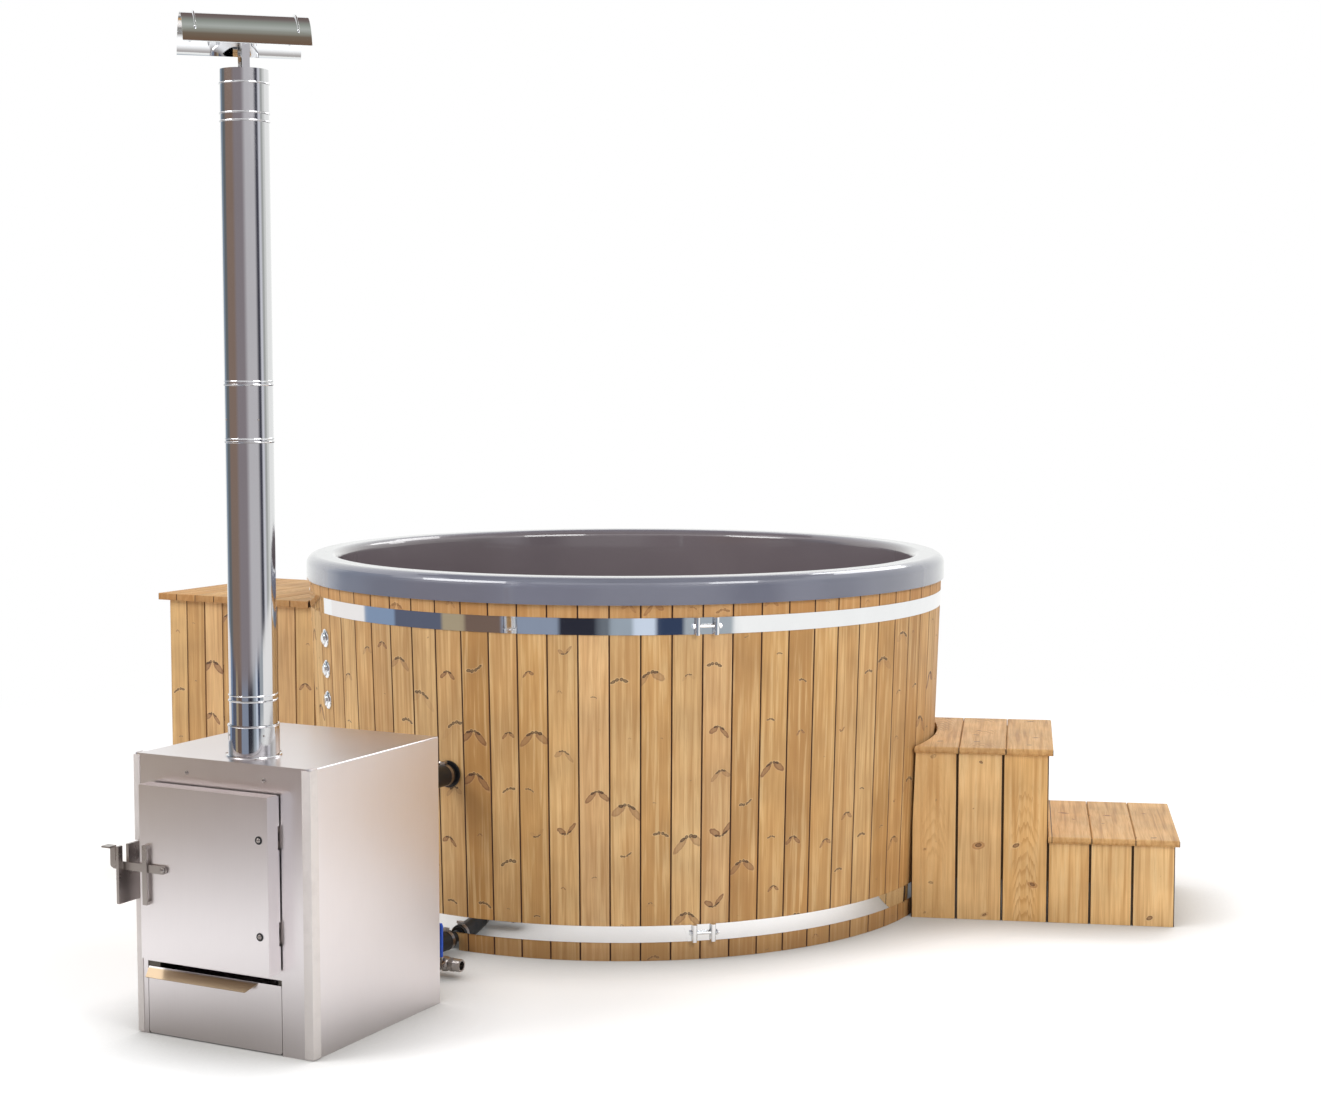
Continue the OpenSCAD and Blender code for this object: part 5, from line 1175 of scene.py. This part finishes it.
@dataclass
class ChimneyTrim(Fittings):
    """The chimney's foot sleeve, the second bead of each joint, and the rivets that close the seams."""

    centre: Pair = (-34.0, -1873.0)
    pipe_r: float = 58.5
    sleeve: Pair = (704.6, 781.0)
    sleeve_r: float = 62.8
    beads: tuple[float, ...] = (853.5, 1479.0, 1617.5)
    rivets: tuple[float, ...] = (757.0, 1525.0)
    bearings: tuple[float, ...] = (60.0, 150.0, 240.0, 330.0)

    def build(self) -> None:
        """Builds the chimney's trim."""
        over = [seat((*self.centre, 0.0), UP)]
        low, high = self.sleeve
        wall, pipe = self.sleeve_r, self.pipe_r
        sleeve = turned("chimney_sleeve", [
            (wall - 0.9, low), (wall, low), (wall, low + 1), (wall, high - 5.5), (wall, high - 4.5),
            (wall + 0.8, high - 3.4), (wall + 0.9, high - 1.6), (wall + 0.3, high - 0.4), (wall - 0.8, high),
            (pipe + 0.3, high - 0.3), (pipe + 0.3, high - 1.5), (wall - 0.9, high - 3),
            (wall - 0.9, low)], 96)
        self.hand_over(sleeve, "flue_steel", "polished_steel", seats=over)
        for number, z in enumerate(self.beads):
            bead = turned(f"chimney_bead_{number + 1}", [
                (pipe + 0.1, z - 1.8), (pipe + 1.3, z - 1.4), (pipe + 1.9, z - 0.5), (pipe + 1.9, z + 0.5),
                (pipe + 1.3, z + 1.4), (pipe + 0.1, z + 1.8), (pipe + 0.1, z - 1.8)], 96)
            self.hand_over(bead, "mirror_steel", "polished_steel", seats=over)
        rivet = turned("chimney_rivets", [(2.6, -0.6), (2.6, 0.2), (2.1, 0.9), (1.2, 1.3), (0.0, 1.5)], 16)
        seats = [place for z, radius in zip(self.rivets, (wall, pipe))
                 for place in self.around(self.centre, radius, z, self.bearings, 1.0)]
        self.hand_over(rivet, "plain_steel", "polished_steel", seats=seats)


@dataclass
class BathTrim(Fittings):
    """The turned nozzle in the mouth of each air jet."""

    face_r: float = 877.3
    height: float = 640.0
    bearings: tuple[float, ...] = (30.0, 90.0, 150.0, 210.0, 270.0, 330.0)

    def build(self) -> None:
        """Builds the bath's trim."""
        nozzle = turned("jet_nozzles", [
            (7.5, -2.5), (7.5, 0.3), (6.6, 1.6), (4.9, 2.5), (3.4, 2.6), (2.6, 2.0), (2.2, 0.5), (2.2, -1.6),
            (0.0, -1.6)], 32)
        seats = self.around((0.0, 0.0), self.face_r, self.height, self.bearings, -1.0)
        self.hand_over(nozzle, "fittings", "fittings", seats=seats)


@dataclass
class CabinetKit(Fittings):
    """What makes the filter and pump usable: clamp, gauge, valve handle, unions, fan cover, terminal box."""

    tank: Pair = (-1290.0, -290.0)
    tank_r: float = 120.0
    shoulder: float = 528.0
    bolts: Pair = (-150.0, 30.0)
    head_r: float = 50.0
    head_top: float = 714.0
    gauge_z: float = 672.0
    pump: Point = (-1385.0, -80.0, 150.0)
    riser_x: float = -1185.0
    riser_unions: Pair = (262.0, 590.0)
    pipe_r: float = 20.0
    pipe_z: float = 680.0
    pipe_union_x: Pair = (-1200.0, -1100.0)

    def filter_top(self) -> None:
        """Builds the clamp ring with its bolts, the gauge and the valve's handle."""
        x, y = self.tank
        r, z = self.tank_r, self.shoulder
        clamp = turned("filter_clamp", [
            (r + 0.2, z - 11), (r + 4, z - 11), (r + 6.5, z - 8), (r + 6.5, z - 2), (r + 3.5, z),
            (r + 6.5, z + 2), (r + 6.5, z + 8), (r + 4, z + 11), (r + 0.2, z + 11), (r + 0.2, z - 11)], 72)
        self.hand_over(clamp, "plain_steel", "tank", seats=[seat((x, y, 0.0), UP)])
        bolt = turned("filter_clamp_bolts", [
            (6.5, -9.0), (6.5, 8.0), (5.6, 9.0), (3.2, 9.0), (3.2, 15.0), (2.4, 16.0), (0.0, 16.0)], 6)
        self.hand_over(bolt, "plain_steel", "tank", seats=self.around(self.tank, r + 8, z, self.bolts))
        case = turned("gauge_case", [
            (5.0, -1.0), (5.0, 9.0), (24.0, 10.0), (26.0, 12.0), (26.0, 22.0), (24.6, 23.4), (22.6, 23.4),
            (21.8, 21.0), (0.0, 21.0)])
        dial = turned("gauge_dial", [(21.6, 21.2), (21.6, 21.6), (21.0, 21.9), (0.0, 21.9)])
        needle = plate("gauge_needle", (-0.7, -4.0, 22.1), (0.7, 16.0, 22.6), 0.2)
        for piece, finish, slot, spin in ((case, "hinge_black", "hinge_black", 0.0),
                                          (dial, "dial_white", "pipe_white", 0.0),
                                          (needle, "hinge_black", "hinge_black", 40.0)):
            place = seat((x, y - self.head_r, self.gauge_z), (0.0, -1.0, 0.0), spin)
            self.hand_over(piece, finish, slot, seats=[place])
        top = [seat((x, y, self.head_top), UP, 25.0)]
        hub = turned("valve_hub", [
            (30.0, 0.1), (30.0, 6.0), (26.0, 12.0), (15.0, 14.0), (14.0, 24.0), (0.0, 24.0)], 40)
        self.hand_over(hub, "tank", "tank", seats=top)
        handle = plate("valve_handle", (-58.0, -11.0, 24.1), (58.0, 11.0, 36.0), 3.0, 2.5)
        self.hand_over(handle, "hinge_black", "hinge_black", seats=top)

    def unions(self) -> None:
        """Builds the knurled union nuts on the pipes."""
        r = self.pipe_r
        nut = turned("pipe_unions", [
            (r + 0.1, -15.0), (r + 4, -15.0), (r + 6, -13.0), (r + 8, -9.0), (r + 8, 9.0), (r + 6, 11.0),
            (r + 3, 12.0), (r + 3, 17.0), (r + 0.1, 17.0), (r + 0.1, -15.0)], 20)
        _, y, low = self.pump
        seats = [seat((self.riser_x, y, z), UP) for z in self.riser_unions]
        for place in ((self.pipe_union_x[0], self.tank[1], self.pipe_z), (self.pipe_union_x[1], y, low)):
            seats.append(seat(place, (1.0, 0.0, 0.0)))
        self.hand_over(nut, "pipe_white", "pipe_white", seats=seats)

    def pump_dress(self) -> None:
        """Builds the pump's fan cover and its terminal box."""
        cover = turned("pump_fan_cover", [
            (57.0, 0.2), (58.5, 2.0), (58.5, 12.0), (55.0, 16.0), (50.0, 17.5), (48.0, 15.5), (43.0, 17.5),
            (41.0, 15.5), (36.0, 17.8), (34.0, 15.6), (29.0, 18.0), (27.0, 15.8), (22.0, 18.2),
            (20.0, 16.0), (15.0, 18.4), (0.0, 18.4)])
        self.hand_over(cover, "pump", "pump", seats=[seat(self.pump, (-1.0, 0.0, 0.0))])
        x, y, z = self.pump
        box = plate("pump_terminal_box", (x + 42, y - 34, z + 60.2), (x + 122, y + 34, z + 84), 3.0, 3.0)
        self.hand_over(box, "pump", "pump")

    def build(self) -> None:
        """Builds the cabinet's kit."""
        self.filter_top()
        self.unions()
        self.pump_dress()


@dataclass
class ValveTrim(Fittings):
    """The screw thread on the drain valve's outlet."""

    start: Point = (121.5, -1215.0, 36.0)
    root: float = 16.7
    crest: float = 17.5
    turns: int = 9
    pitch: float = 2.3

    def build(self) -> None:
        """Builds the thread."""
        bore, length = self.root - 0.6, self.turns * self.pitch
        outline = [(bore, 0.0)]
        for number in range(self.turns):
            z = number * self.pitch
            outline += [(self.root, z), (self.crest, z + 0.9), (self.crest, z + 1.3)]
        outline += [(self.root, length), (bore, length), (bore, 0.0)]
        thread = turned("outlet_thread", outline, 40)
        self.hand_over(thread, "plain_steel", "polished_steel", seats=[seat(self.start, (1.0, 0.0, 0.0))])


def write_sizes() -> None:
    """Works out the CAD box and the visual model's box as plain lists, which nothing uses."""
    boxes = {"cad": CAD_BOX, "visual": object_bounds()}
    plain = {key: [[float(x) for x in corner] for corner in box] for key, box in boxes.items()}


def main() -> None:
    """Builds the studio, the finishes and the fittings."""
    Studio().build()
    wardrobe = Wardrobe()
    wardrobe.dress_nodes()
    for group in (HeaterTrim, CabinetLid, ChimneyTrim, BathTrim, CabinetKit, ValveTrim):
        group(wardrobe).build()
    write_sizes()


if __name__ == "__main__":
    main()
